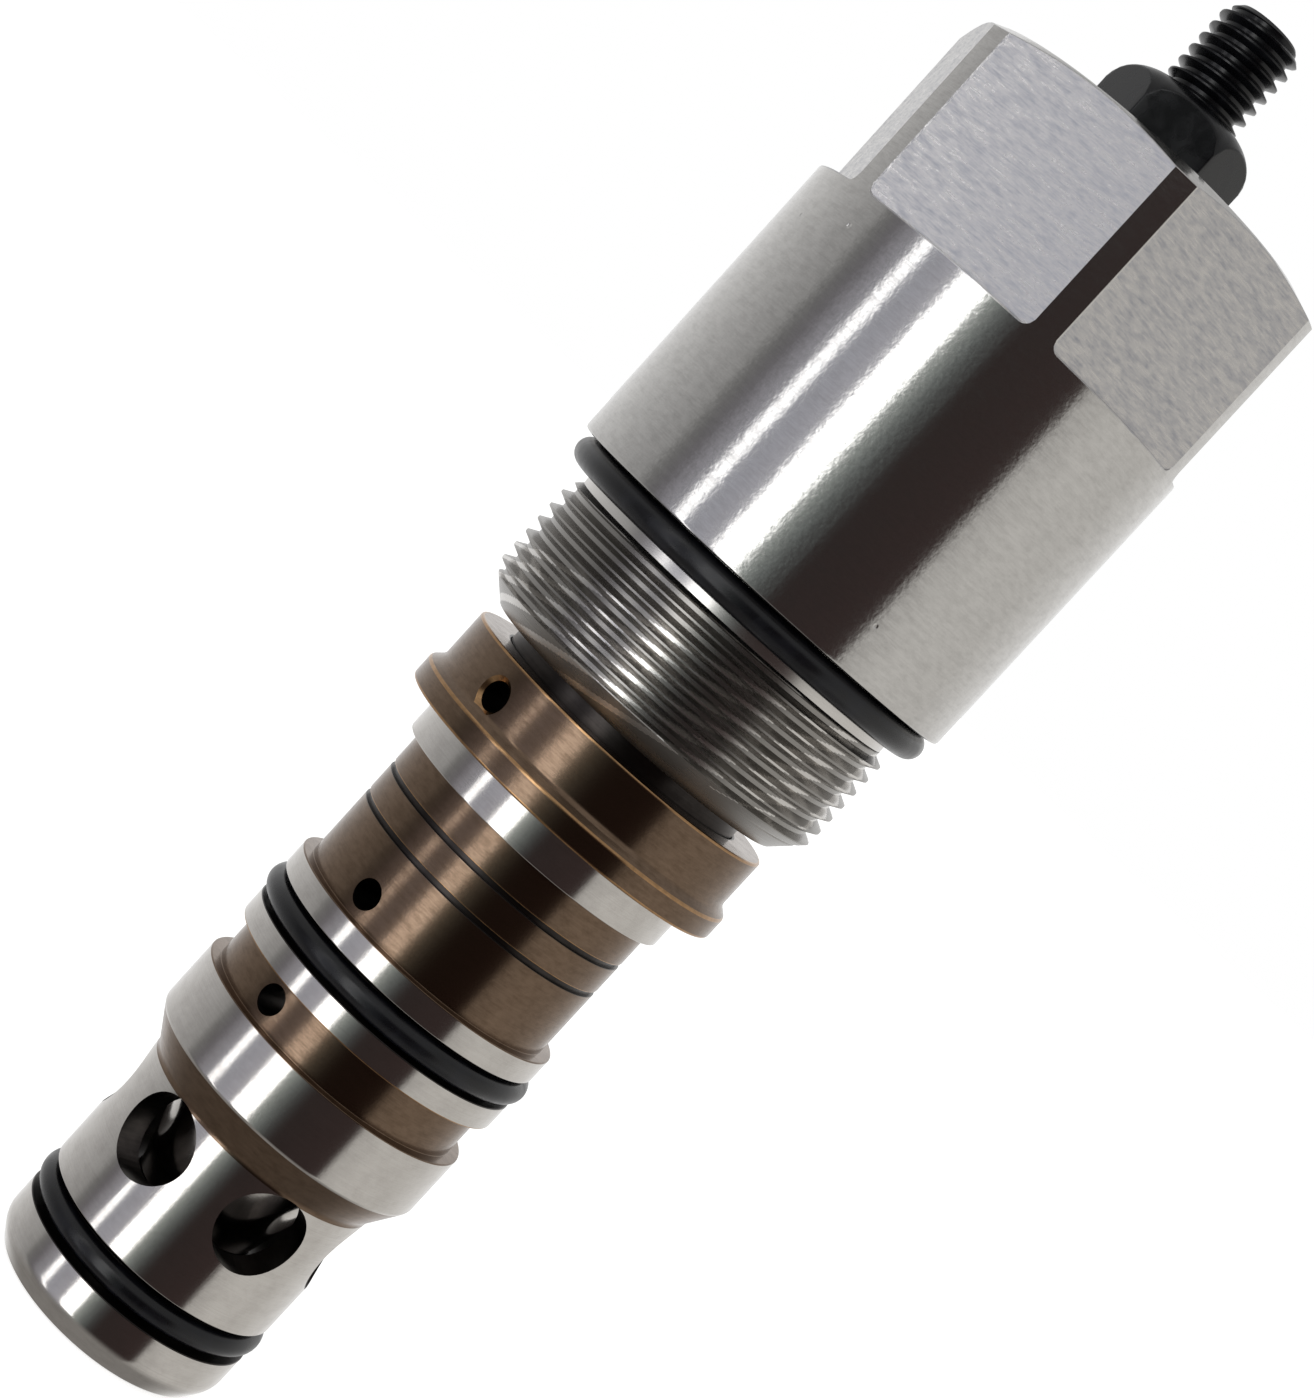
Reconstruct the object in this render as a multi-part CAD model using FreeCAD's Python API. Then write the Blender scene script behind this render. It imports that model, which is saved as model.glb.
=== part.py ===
import FreeCAD, Part
import math
import os

# Screw-in, pilot-operated relief cartridge valve. All sizes are in millimetres.
# The origin is the centre of the nose end. +Z runs along the valve's axis to the adjusting screw,
# and +X passes through the middle of one of the six nose ports.

Vector = FreeCAD.Vector

# ---------------------------------------------------------------------------------------------
# Driving dimensions: sleeve, outside, from the nose up
# ---------------------------------------------------------------------------------------------
nose_dia = 24.2             # ground nose that seals in the cavity's lower bore
nose_length = 21.9
nose_lead_length = 1.8      # lead-in chamfer at the nose end
nose_lead_drop = 1.2
nose_groove_start = 5.2     # nose O-ring groove
nose_groove_width = 3.4
cone_length = 3.3           # cone between nose and lands
land_dia = 28.4             # three ground lands
lower_land_length = 6.0
waist_drop = 1.05           # how far the turned waists lie under the lands
lower_waist_length = 4.2
middle_land_length = 2.4
mid_groove_width = 3.0      # mid O-ring groove
upper_land_length = 2.4
upper_waist_length = 13.7
fine_groove_width = 0.5     # two fine oil grooves in the upper waist
fine_groove_depth = 0.35
fine_groove_rise = 6.8      # from the waist's foot to the first fine groove
fine_groove_step = 3.2
collar_wall = 1.34          # walls round the socket in the sleeve's head
collar_length = 3.5
flange_step = 0.9           # flange over the head
flange_length = 2.1
flange_cove = 0.8
head_wall = 3.29
head_length = 4.9
groove_undercut = 0.01      # a ring stands this far clear of its groove's floor

# sleeve ports and drillings
port_count = 6
port_dia = 8.0
port_rise = 17.7            # height of the ports' middle above the nose end
drilling_dia = 2.8
damping_offset = 2.2        # lower drilling above the lower waist's foot
vent_offset = 2.2           # upper drilling above the upper waist's foot
drain_offset = 3.3          # head drilling below the sleeve's top
drilling_angle = 240.0      # both waist drillings, about +Z from +X
drain_angle = 232.0
drain_countersink = 0.4     # bevel round the head drilling

# sleeve, inside
inlet_dia = 12.6
inlet_length = 12.5
inlet_chamfer = 0.8
poppet_bore_dia = 18.0
socket_depth = 9.4          # counterbore in the head for the pilot housing
retaining_rise = 3.8        # retaining ring above the socket's floor

# ---------------------------------------------------------------------------------------------
# Driving dimensions: O-rings and retaining ring
# ---------------------------------------------------------------------------------------------
nose_ring_cord = 2.3
nose_ring_proud = 0.3       # how far a free ring stands out of its land
mid_ring_cord = 2.35
mid_ring_proud = 0.5
body_ring_cord = 2.65
retaining_wire = 1.2
spigot_ring_cord = 1.5
seat_ring_cord = 1.0
plunger_ring_cord = 1.8
backup_ring_length = 1.1
nut_ring_cord = 1.1

# ---------------------------------------------------------------------------------------------
# Driving dimensions: valve body
# ---------------------------------------------------------------------------------------------
neck_gap = 1.7              # bare neck between sleeve and body
thread_dia = 36.0
thread_pitch = 1.5
thread_length = 12.3
thread_chamfer = 1.6
relief_length = 3.6
barrel_dia = 40.3
barrel_length = 29.4
barrel_edge = 0.3
flats_length = 17.8
across_flats = 36.0
flats_turn = 9.65           # first flat's normal, about +Z from +X
flats_corner = 0.8          # corner left by the cutter at a flat's foot
top_chamfer_length = 1.1
top_chamfer_drop = 2.7
spring_chamber_dia = 18.4

# ---------------------------------------------------------------------------------------------
# Driving dimensions: pilot stage
# ---------------------------------------------------------------------------------------------
neck_dia = 25.4
neck_rise = 8.2             # plain neck inside the body
stub_step = 1.7             # upper stub, this much smaller all round than the neck
stub_wall = 2.4
stub_length = 12.0
pilot_floor = 13.0          # pilot housing's floor, from its lower face
pilot_feed_dia = 4.0
seat_dia = 12.0
seat_length = 9.5
seat_bore_dia = 3.2
drain_hole_dia = 1.8
drain_hole_inset = 0.4      # the drain holes stand this far inside the spring chamber's wall
drain_annulus_width = 2.6
drain_annulus_depth = 0.8
pilot_tip_length = 2.2
pilot_cone_half_angle = 24.0
pilot_stem_dia = 6.4
pilot_stem_rise = 4.0
pilot_flange_clear = 1.0    # radial room round the pilot poppet's flange
pilot_flange_length = 2.0
guide_length = 2.6
guide_bevel = 0.6

# ---------------------------------------------------------------------------------------------
# Driving dimensions: main poppet and springs
# ---------------------------------------------------------------------------------------------
poppet_lift = 4.0
poppet_tip_drop = 1.2       # how far the poppet's tip reaches into the inlet
poppet_cone_length = 9.6    # from the seat to the guided skirt
poppet_spring_bore = 12.0
poppet_nose_wall = 12.5     # solid nose under the spring bore
poppet_annulus_width = 4.6
poppet_annulus_depth = 0.7
balance_groove_width = 0.6
balance_groove_depth = 0.35
balance_groove_count = 3
orifice_dia = 5.0
orifice_length = 5.0
orifice_hole_dia = 1.0
orifice_ledge = 1.0
screen_dia = 6.0
screen_length = 1.0
main_wire = 1.2
main_spring_clear = 0.5     # radial room round the main spring
main_spring_turns = 9.0
pilot_wire = 2.4
pilot_spring_inset = 0.3    # the pilot spring inside its flange's rim
pilot_spring_length = 24.0
pilot_spring_turns = 6.5

# ---------------------------------------------------------------------------------------------
# Driving dimensions: plunger, adjusting screw and lock nut
# ---------------------------------------------------------------------------------------------
shim_length = 0.8
shim_clear = 0.4            # radial room round the plunger's guide
plunger_flange_clear = 0.7  # radial room round the plunger's flange
plunger_flange_length = 2.0
plunger_stem_dia = 12.0
plunger_groove_cover = 1.25 # bore left over the groove when the screw is right in
plunger_head_length = 5.0   # stem above its groove
plunger_bevel = 0.5
screw_in_travel = 3.75      # three turns in
screw_out_travel = 2.5      # two turns out
screw_dia = 8.0
screw_pitch = 1.25
screw_dog_dia = 5.8
screw_dog_length = 2.0
screw_proud = 8.7           # screw above the lock nut
screw_end_chamfer = 1.0
socket_key = 4.0            # hex socket in the screw's end
socket_length = 4.5
nut_across_flats = 13.0
nut_height = 6.8
nut_dome_drop = 2.2
nut_dome_angle = 38.0
nut_foot_chamfer = 0.5

# ---------------------------------------------------------------------------------------------
# Clearances
# ---------------------------------------------------------------------------------------------
sliding_clear = 0.03        # radial, moving pieces
locating_clear = 0.02       # radial, pieces that stay put
thread_clear = 0.06         # radial, external thread in its tapped hole
resting_clear = 0.02        # along the axis, faces that rest on each other
ring_clear = 0.08           # radial, seals beside moving pieces
float_clear = 0.4           # the sleeve's play on the pilot housing
travel_clear = 0.5          # room left past the end of a travel
thread_depth_ratio = 0.6134 # thread depth over pitch
cut_over = 1.0              # how far a cutter runs past the face it cuts

# ---------------------------------------------------------------------------------------------
# Stations along the axis, worked out from the lengths
# ---------------------------------------------------------------------------------------------
cone_foot = nose_length
lower_land = cone_foot + cone_length
lower_waist = lower_land + lower_land_length
middle_land = lower_waist + lower_waist_length
mid_groove = middle_land + middle_land_length
upper_land = mid_groove + mid_groove_width
upper_waist = upper_land + upper_land_length
collar = upper_waist + upper_waist_length
flange = collar + collar_length
flange_top = flange + flange_length
head = flange_top + flange_cove
sleeve_top = head + head_length
socket_floor = sleeve_top - socket_depth
damping_rise = lower_waist + damping_offset
vent_rise = upper_waist + vent_offset
drain_rise = sleeve_top - drain_offset

body_foot = sleeve_top + neck_gap
relief_foot = body_foot + thread_length
shoulder = relief_foot + relief_length
flats_foot = shoulder + barrel_length
body_top = flats_foot + flats_length

housing_foot = socket_floor + float_clear
neck_top = body_foot + neck_rise
stub_top = neck_top + stub_length
pilot_floor_level = housing_foot + pilot_floor
seat_foot = pilot_floor_level - seat_length

pilot_flange = pilot_floor_level + pilot_stem_rise
pilot_spring_foot = pilot_flange + pilot_flange_length + resting_clear
pilot_spring_top = pilot_spring_foot + pilot_spring_length
shim_foot = pilot_spring_top + resting_clear
plunger_flange = shim_foot + shim_length
plunger_stem = plunger_flange + plunger_flange_length
chamber_top = plunger_stem + screw_out_travel + travel_clear
plunger_groove = chamber_top + screw_in_travel + plunger_groove_cover
plunger_groove_width = plunger_ring_cord + backup_ring_length + 4 * ring_clear
plunger_top = plunger_groove + plunger_groove_width + plunger_head_length
plunger_bore_top = plunger_top + screw_out_travel + travel_clear

screw_foot = plunger_top + resting_clear
nut_foot = body_top + resting_clear
nut_top = nut_foot + nut_height
screw_top = nut_top + screw_proud

poppet_tip = inlet_length - poppet_tip_drop
poppet_skirt = inlet_length + poppet_cone_length
poppet_top = vent_rise - drilling_dia / 2 - poppet_lift
poppet_spring_floor = poppet_tip + poppet_nose_wall
orifice_foot = poppet_tip + screen_length + resting_clear
orifice_top = orifice_foot + orifice_length
main_spring_foot = poppet_spring_floor + resting_clear
main_spring_top = housing_foot - resting_clear

retaining_level = socket_floor + retaining_rise
spigot_groove = housing_foot + spigot_ring_cord / 2
spigot_groove_width = spigot_ring_cord * 1.2

# ---------------------------------------------------------------------------------------------
# Radii that several pieces share
# ---------------------------------------------------------------------------------------------
nose_radius = nose_dia / 2
land_radius = land_dia / 2
waist_radius = land_radius - waist_drop
neck_radius = neck_dia / 2
socket_radius = neck_radius + 2 * sliding_clear
collar_radius = socket_radius + collar_wall
head_radius = socket_radius + head_wall
flange_radius = head_radius + flange_step
nose_ring_inner = nose_radius + nose_ring_proud - nose_ring_cord
mid_ring_inner = land_radius + mid_ring_proud - mid_ring_cord
spigot_ring_inner = socket_radius - sliding_clear - spigot_ring_cord
stub_radius = neck_radius - stub_step
pilot_chamber_radius = stub_radius - stub_wall
pilot_flange_radius = pilot_chamber_radius - pilot_flange_clear
pilot_spring_radius = pilot_flange_radius - pilot_spring_inset
guide_radius = pilot_spring_radius - pilot_wire - ring_clear
thread_root = thread_dia / 2 - thread_depth_ratio * thread_pitch
relief_radius = thread_root - locating_clear
tapped_radius = screw_dia / 2 + thread_clear
plunger_flange_radius = spring_chamber_dia / 2 - plunger_flange_clear
plunger_bore_radius = plunger_stem_dia / 2 + sliding_clear
plunger_ring_inner = plunger_bore_radius - plunger_ring_cord + sliding_clear
nut_ring_inner = screw_dia / 2 + ring_clear


# ---------------------------------------------------------------------------------------------
# Helpers
# ---------------------------------------------------------------------------------------------
def cylinder(radius, foot, top):
    """Solid cylinder on the valve's axis."""
    return Part.makeCylinder(radius, top - foot, Vector(0, 0, foot))


def tube(outer, inner, foot, top):
    """Plain tube on the valve's axis."""
    return cylinder(outer, foot, top).cut(cylinder(inner, foot - cut_over, top + cut_over))


def cone(foot_radius, top_radius, foot, top):
    """Solid cone frustum on the valve's axis."""
    return Part.makeCone(foot_radius, top_radius, top - foot, Vector(0, 0, foot))


def turned(outline):
    """Solid of revolution from the corners (radius, height) of a closed half section."""
    points = [Vector(radius, 0, height) for radius, height in outline]
    section = Part.Face(Part.makePolygon(points + points[:1]))
    return section.revolve(Vector(0, 0, 0), Vector(0, 0, 1), 360)


def ring(inner, cord, middle):
    """O-ring or wire ring of round section, from its inner radius and its middle's height."""
    return Part.makeTorus(inner + cord / 2, cord / 2, Vector(0, 0, middle))


def radial_hole(diameter, height, angle, inner, outer):
    """Cutter for a hole that points away from the axis at the given angle."""
    radians = math.radians(angle)
    out = Vector(math.cos(radians), math.sin(radians), 0)
    start = out * inner + Vector(0, 0, height)
    return Part.makeCylinder(diameter / 2, outer - inner, start, out)


def thread_corners(radius, pitch, foot, top):
    """Half-section corners of a 60 degree thread, drawn as level ridges one pitch apart."""
    root = radius - thread_depth_ratio * pitch
    crest = pitch / 8
    flank = thread_depth_ratio * pitch * math.tan(math.radians(30))
    corners = []
    for index in range(int((top - foot) / pitch)):
        start = foot + pitch * index
        corners.append((radius, start))
        corners.append((radius, start + crest))
        corners.append((root, start + crest + flank))
        corners.append((root, start + pitch - flank))
    return corners + [(root, top)]


def end_chamfer(radius, drop, face, inward):
    """Cutter for a 45 degree chamfer at an end face; inward is +1 or -1 along the axis."""
    over = radius + cut_over
    edge = [
        (radius - drop, face),
        (over, face + inward * (drop + cut_over)),
        (over, face),
    ]
    return turned(edge)


def coil(outer_dia, wire, turns, foot, top):
    """Compression spring whose ends are ground flat at foot and top."""
    middle = (outer_dia - wire) / 2
    helix = Part.makeHelix((top - foot) / turns, top - foot, middle)
    helix.translate(Vector(0, 0, foot))
    section = Part.Wire(Part.makeCircle(wire / 2, Vector(middle, 0, foot), Vector(0, 1, 0)))
    swept = Part.Wire(helix.Edges).makePipeShell([section], True, True)
    return swept.common(cylinder(outer_dia, foot, top))


def hexagon(across, foot, top, turn=0.0):
    """Hexagonal prism on the valve's axis; turn is the angle of its first flat's normal."""
    corner = across / 2 / math.cos(math.radians(30))
    points = []
    for index in range(6):
        angle = math.radians(turn + 30 + 60 * index)
        points.append(Vector(corner * math.cos(angle), corner * math.sin(angle), foot))
    base = Part.Face(Part.makePolygon(points + points[:1]))
    return base.extrude(Vector(0, 0, top - foot))


def one_solid(shape):
    """The single solid of a shape, so that each file holds exactly one body per piece."""
    solids = shape.Solids
    if len(solids) != 1:
        raise ValueError("expected one solid, found %d" % len(solids))
    return solids[0]


# ---------------------------------------------------------------------------------------------
# Sleeve and what rides on it
# ---------------------------------------------------------------------------------------------
def make_sleeve():
    """Valve sleeve with lands, waists, ring grooves, ports and drillings."""
    corners = [
        (nose_radius - nose_lead_drop, 0),
        (nose_radius, nose_lead_length),
        (nose_radius, cone_foot),
        (land_radius, lower_land),
        (land_radius, lower_waist),
        (waist_radius, lower_waist),
        (waist_radius, middle_land),
        (land_radius, middle_land),
        (land_radius, upper_waist),
        (waist_radius, upper_waist),
        (waist_radius, collar),
        (collar_radius, collar),
        (collar_radius, flange),
        (flange_radius, flange),
        (flange_radius, flange_top),
        (head_radius, head),
        (head_radius, sleeve_top),
        (socket_radius, sleeve_top),
        (socket_radius, socket_floor),
        (poppet_bore_dia / 2, socket_floor),
        (poppet_bore_dia / 2, inlet_length),
        (inlet_dia / 2, inlet_length),
        (inlet_dia / 2, inlet_chamfer),
        (inlet_dia / 2 + inlet_chamfer, 0),
    ]
    nose_groove_top = nose_groove_start + nose_groove_width
    half_wire = retaining_wire / 2 + locating_clear
    wire_wall = socket_radius + retaining_wire / 2 + ring_clear
    cutters = [
        tube(nose_radius + cut_over, nose_ring_inner - groove_undercut, nose_groove_start, nose_groove_top),
        tube(land_radius + cut_over, mid_ring_inner - groove_undercut, mid_groove, upper_land),
        tube(wire_wall, neck_radius, retaining_level - half_wire, retaining_level + half_wire),
    ]
    for index in range(2):
        start = upper_waist + fine_groove_rise + fine_groove_step * index
        floor = waist_radius - fine_groove_depth
        cutters.append(tube(waist_radius + cut_over, floor, start, start + fine_groove_width))
    for index in range(port_count):
        angle = 360 / port_count * index
        cutters.append(radial_hole(port_dia, port_rise, angle, 0, nose_radius + cut_over))
    for side in (0, 180):
        for rise in (damping_rise, vent_rise):
            cutters.append(radial_hole(drilling_dia, rise, drilling_angle + side, 0, land_radius))
        cutters.append(radial_hole(drilling_dia, drain_rise, drain_angle + side, 0, flange_radius))
        cutters.append(drain_bevel(drain_angle + side))
    return one_solid(turned(corners).cut(cutters))


def drain_bevel(angle):
    """Cutter for the small bevel where the head drilling meets the sleeve's outside."""
    radians = math.radians(angle)
    out = Vector(math.cos(radians), math.sin(radians), 0)
    start = out * (head_radius - drain_countersink) + Vector(0, 0, drain_rise)
    length = 2 * drain_countersink
    return Part.makeCone(drilling_dia / 2, drilling_dia / 2 + length, length, start, out)


def make_nose_o_ring():
    """Nose seal, in the middle of its groove."""
    return ring(nose_ring_inner, nose_ring_cord, nose_groove_start + nose_groove_width / 2)


def make_mid_o_ring():
    """Seal between the upper two lands, in the middle of its groove."""
    return ring(mid_ring_inner, mid_ring_cord, mid_groove + mid_groove_width / 2)


def make_sleeve_retaining_ring():
    """Split wire ring that hangs the sleeve on the pilot housing."""
    whole = ring(socket_radius - retaining_wire / 2, retaining_wire, retaining_level)
    inner = neck_radius - 2 * retaining_wire
    gap = radial_hole(3 * retaining_wire, retaining_level, 90, inner, neck_dia)
    return one_solid(whole.cut(gap))


# ---------------------------------------------------------------------------------------------
# Main poppet and its spring
# ---------------------------------------------------------------------------------------------
def make_main_poppet():
    """Main poppet: long cone in the port gallery, guided skirt above it."""
    skirt = poppet_bore_dia / 2 - sliding_clear
    seat = inlet_dia / 2 - ring_clear
    slope = (skirt - seat) / poppet_cone_length
    corners = [
        (screen_dia / 2, poppet_tip),
        (seat - slope * poppet_tip_drop, poppet_tip),
        (skirt, poppet_skirt),
        (skirt, poppet_top),
        (poppet_spring_bore / 2, poppet_top),
        (poppet_spring_bore / 2, poppet_spring_floor),
        (orifice_dia / 2 - orifice_ledge, poppet_spring_floor),
        (orifice_dia / 2 - orifice_ledge, orifice_top),
        (orifice_dia / 2, orifice_top),
        (orifice_dia / 2, orifice_foot),
        (screen_dia / 2, orifice_foot),
    ]
    annulus = damping_rise - poppet_annulus_width / 2
    cutters = [
        tube(skirt + cut_over, skirt - poppet_annulus_depth, annulus, annulus + poppet_annulus_width),
        radial_hole(orifice_hole_dia, damping_rise, 90, 0, skirt),
    ]
    pitch = (annulus - poppet_skirt) / (balance_groove_count + 1)
    for index in range(balance_groove_count):
        start = poppet_skirt + pitch * (index + 1)
        floor = skirt - balance_groove_depth
        cutters.append(tube(skirt + cut_over, floor, start, start + balance_groove_width))
    return one_solid(turned(corners).cut(cutters))


def make_poppet_orifice():
    """Throttle screw with its small bore and a driver slot."""
    radius = orifice_dia / 2 - locating_clear
    body = tube(radius, orifice_hole_dia / 2, orifice_foot, orifice_top)
    slot = Part.makeBox(orifice_dia, orifice_hole_dia, orifice_hole_dia)
    slot.translate(Vector(-orifice_dia / 2, -orifice_hole_dia / 2, orifice_foot))
    return one_solid(body.cut(slot))


def make_poppet_screen():
    """Sintered disc at the poppet's tip."""
    return cylinder(screen_dia / 2 - locating_clear, poppet_tip, poppet_tip + screen_length)


def make_main_spring():
    """Light closing spring between the main poppet and the pilot housing."""
    outer = poppet_spring_bore - 2 * main_spring_clear
    return one_solid(coil(outer, main_wire, main_spring_turns, main_spring_foot, main_spring_top))


# ---------------------------------------------------------------------------------------------
# Valve body
# ---------------------------------------------------------------------------------------------
def make_valve_body():
    """Threaded, six-sided body with the spring chamber and the plunger's bore inside."""
    barrel = barrel_dia / 2
    major = thread_dia / 2
    corners = thread_corners(major, thread_pitch, body_foot, relief_foot) + [
        (relief_radius, relief_foot),
        (relief_radius, shoulder),
        (barrel - barrel_edge, shoulder),
        (barrel, shoulder + barrel_edge),
        (barrel, body_top - top_chamfer_length),
        (barrel - top_chamfer_drop, body_top),
        (tapped_radius, body_top),
        (tapped_radius, plunger_bore_top),
        (plunger_bore_radius, plunger_bore_top),
        (plunger_bore_radius, chamber_top),
        (spring_chamber_dia / 2, chamber_top),
        (spring_chamber_dia / 2, stub_top + locating_clear),
        (stub_radius + locating_clear, stub_top + locating_clear),
        (stub_radius + locating_clear, neck_top + locating_clear),
        (neck_radius + locating_clear, neck_top + locating_clear),
        (neck_radius + locating_clear, body_foot),
    ]
    cutters = [end_chamfer(major, thread_chamfer, body_foot, 1)]
    chord = 2 * math.sqrt(barrel ** 2 - (across_flats / 2) ** 2)
    for index in range(6):
        cutters.append(flat_cutter(chord, flats_turn + 60 * index))
    return one_solid(turned(corners).cut(cutters))


def flat_cutter(chord, angle):
    """Cutter for one wrench flat, with the cutter's corners rounded at its foot."""
    height = body_top - flats_foot + cut_over
    block = Part.makeBox(barrel_dia, chord, height, Vector(across_flats / 2, -chord / 2, flats_foot))
    foot_edges = []
    for edge in block.Edges:
        middle = edge.CenterOfMass
        low = abs(middle.z - flats_foot) < 0.001
        sideways = abs(abs(middle.y) - chord / 2) < 0.001
        if low and sideways:
            foot_edges.append(edge)
    rounded = block.makeFillet(flats_corner, foot_edges)
    rounded.rotate(Vector(0, 0, 0), Vector(0, 0, 1), angle)
    return rounded


def make_body_o_ring():
    """Seal in the thread relief, close under the body's shoulder."""
    middle = shoulder - body_ring_cord / 2 - ring_clear
    return ring(relief_radius + groove_undercut, body_ring_cord, middle)


# ---------------------------------------------------------------------------------------------
# Pilot stage
# ---------------------------------------------------------------------------------------------
def make_pilot_housing():
    """Plug that carries the pilot seat, hangs the sleeve and screws into the body."""
    ring_seat = seat_foot - seat_ring_cord - locating_clear
    corners = [
        (pilot_feed_dia / 2, housing_foot),
        (neck_radius, housing_foot),
        (neck_radius, neck_top),
        (stub_radius, neck_top),
        (stub_radius, stub_top),
        (pilot_chamber_radius, stub_top),
        (pilot_chamber_radius, pilot_floor_level),
        (seat_dia / 2 + locating_clear, pilot_floor_level),
        (seat_dia / 2 + locating_clear, ring_seat),
        (pilot_feed_dia / 2, ring_seat),
    ]
    outside = neck_radius + cut_over
    half_wire = retaining_wire / 2 + locating_clear
    wire_floor = socket_radius - retaining_wire / 2 - ring_clear
    annulus = drain_rise - drain_annulus_width / 2
    spigot_floor = spigot_ring_inner - groove_undercut
    cutters = [
        tube(outside, spigot_floor, spigot_groove, spigot_groove + spigot_groove_width),
        tube(outside, wire_floor, retaining_level - half_wire, retaining_level + half_wire),
        tube(outside, neck_radius - drain_annulus_depth, annulus, annulus + drain_annulus_width),
    ]
    across = pilot_chamber_radius - drain_hole_inset - drain_hole_dia / 2
    for side in (1, -1):
        foot = Vector(side * across, 0, drain_rise)
        depth = pilot_floor_level + cut_over - drain_rise
        cutters.append(Part.makeCylinder(drain_hole_dia / 2, depth, foot))
        cutters.append(radial_hole(drain_hole_dia, drain_rise, 90 - 90 * side, across, neck_radius))
    return one_solid(turned(corners).cut(cutters))


def make_pilot_housing_o_ring():
    """Seal between the pilot housing and the sleeve."""
    return ring(spigot_ring_inner, spigot_ring_cord, spigot_groove + spigot_groove_width / 2)


def make_pilot_seat():
    """Hardened seat bush with its small bore."""
    outer = seat_dia / 2
    corners = [
        (seat_bore_dia / 2, seat_foot),
        (outer, seat_foot),
        (outer, pilot_floor_level),
        (seat_bore_dia / 2, pilot_floor_level),
    ]
    return turned(corners)


def make_pilot_seat_o_ring():
    """Seal under the pilot seat."""
    inner = seat_dia / 2 - seat_ring_cord - locating_clear
    return ring(inner, seat_ring_cord - locating_clear, seat_foot - seat_ring_cord / 2)


def make_pilot_poppet():
    """Pilot cone with its spring flange and guide spigot."""
    slope = math.tan(math.radians(pilot_cone_half_angle))
    seat = seat_bore_dia / 2 - ring_clear
    tip = pilot_floor_level - pilot_tip_length
    stem = pilot_stem_dia / 2
    cone_top = pilot_floor_level + (stem - seat) / slope
    flange_top_level = pilot_flange + pilot_flange_length
    corners = [
        (0, tip),
        (seat - slope * pilot_tip_length, tip),
        (stem, cone_top),
        (stem, pilot_flange),
        (pilot_flange_radius, pilot_flange),
        (pilot_flange_radius, flange_top_level),
        (guide_radius, flange_top_level),
        (guide_radius, flange_top_level + guide_length - guide_bevel),
        (guide_radius - guide_bevel, flange_top_level + guide_length),
        (0, flange_top_level + guide_length),
    ]
    return turned(corners)


def make_pilot_spring():
    """Stiff spring that sets the relief pressure."""
    outer = 2 * pilot_spring_radius
    return one_solid(coil(outer, pilot_wire, pilot_spring_turns, pilot_spring_foot, pilot_spring_top))


# ---------------------------------------------------------------------------------------------
# Plunger, adjusting screw and lock nut
# ---------------------------------------------------------------------------------------------
def make_spring_shim():
    """Setting shim between the pilot spring and the plunger's flange."""
    return tube(plunger_flange_radius, guide_radius + shim_clear, shim_foot, plunger_flange)


def make_spring_plunger():
    """Sealed plunger: guide spigot, flange and stem with a ring groove."""
    stem = plunger_stem_dia / 2
    corners = [
        (0, plunger_flange - guide_length),
        (guide_radius - guide_bevel, plunger_flange - guide_length),
        (guide_radius, plunger_flange - guide_length + guide_bevel),
        (guide_radius, plunger_flange),
        (plunger_flange_radius, plunger_flange),
        (plunger_flange_radius, plunger_stem),
        (stem, plunger_stem),
        (stem, plunger_top - plunger_bevel),
        (stem - plunger_bevel, plunger_top),
        (0, plunger_top),
    ]
    floor = plunger_ring_inner - groove_undercut
    groove = tube(stem + cut_over, floor, plunger_groove, plunger_groove + plunger_groove_width)
    return one_solid(turned(corners).cut(groove))


def make_plunger_o_ring():
    """Plunger seal, on the pressure side of its groove."""
    cord = plunger_bore_radius - sliding_clear - plunger_ring_inner
    return ring(plunger_ring_inner, cord, plunger_groove + ring_clear + cord / 2)


def make_plunger_backup_ring():
    """Hard ring that backs the plunger's seal."""
    top = plunger_groove + plunger_groove_width - ring_clear
    return tube(plunger_stem_dia / 2, plunger_ring_inner, top - backup_ring_length, top)


def make_adjusting_screw():
    """Threaded adjusting screw with a dog point and a hex socket."""
    major = screw_dia / 2
    dog_top = screw_foot + screw_dog_length
    dog = [
        (0, screw_foot),
        (screw_dog_dia / 2, screw_foot),
        (screw_dog_dia / 2, dog_top),
    ]
    body = turned(dog + thread_corners(major, screw_pitch, dog_top, screw_top) + [(0, screw_top)])
    chamfer = end_chamfer(major, screw_end_chamfer, screw_top, -1)
    socket = hexagon(socket_key, screw_top - socket_length, screw_top + cut_over)
    return one_solid(body.cut([chamfer, socket]))


def make_lock_nut():
    """Hexagonal lock nut with a domed top and a recess for its seal."""
    corner = nut_across_flats / math.sqrt(3)
    dome_foot = nut_top - nut_dome_drop
    top_radius = corner - nut_dome_drop / math.tan(math.radians(nut_dome_angle))
    outline = [
        (0, nut_foot),
        (corner - nut_foot_chamfer, nut_foot),
        (corner, nut_foot + nut_foot_chamfer),
        (corner, dome_foot),
        (top_radius, nut_top),
        (0, nut_top),
    ]
    prism = hexagon(nut_across_flats, nut_foot, nut_top, flats_turn)
    body = prism.common(turned(outline))
    bore = cylinder(tapped_radius, nut_foot - cut_over, nut_top + cut_over)
    recess_radius = nut_ring_inner + nut_ring_cord + ring_clear
    recess = cylinder(recess_radius, nut_foot - cut_over, nut_foot + nut_ring_cord + 2 * ring_clear)
    return one_solid(body.cut([bore, recess]))


def make_nut_seal():
    """Seal in the lock nut's recess, round the screw."""
    return ring(nut_ring_inner, nut_ring_cord, nut_foot + ring_clear / 2 + nut_ring_cord / 2)


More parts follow.
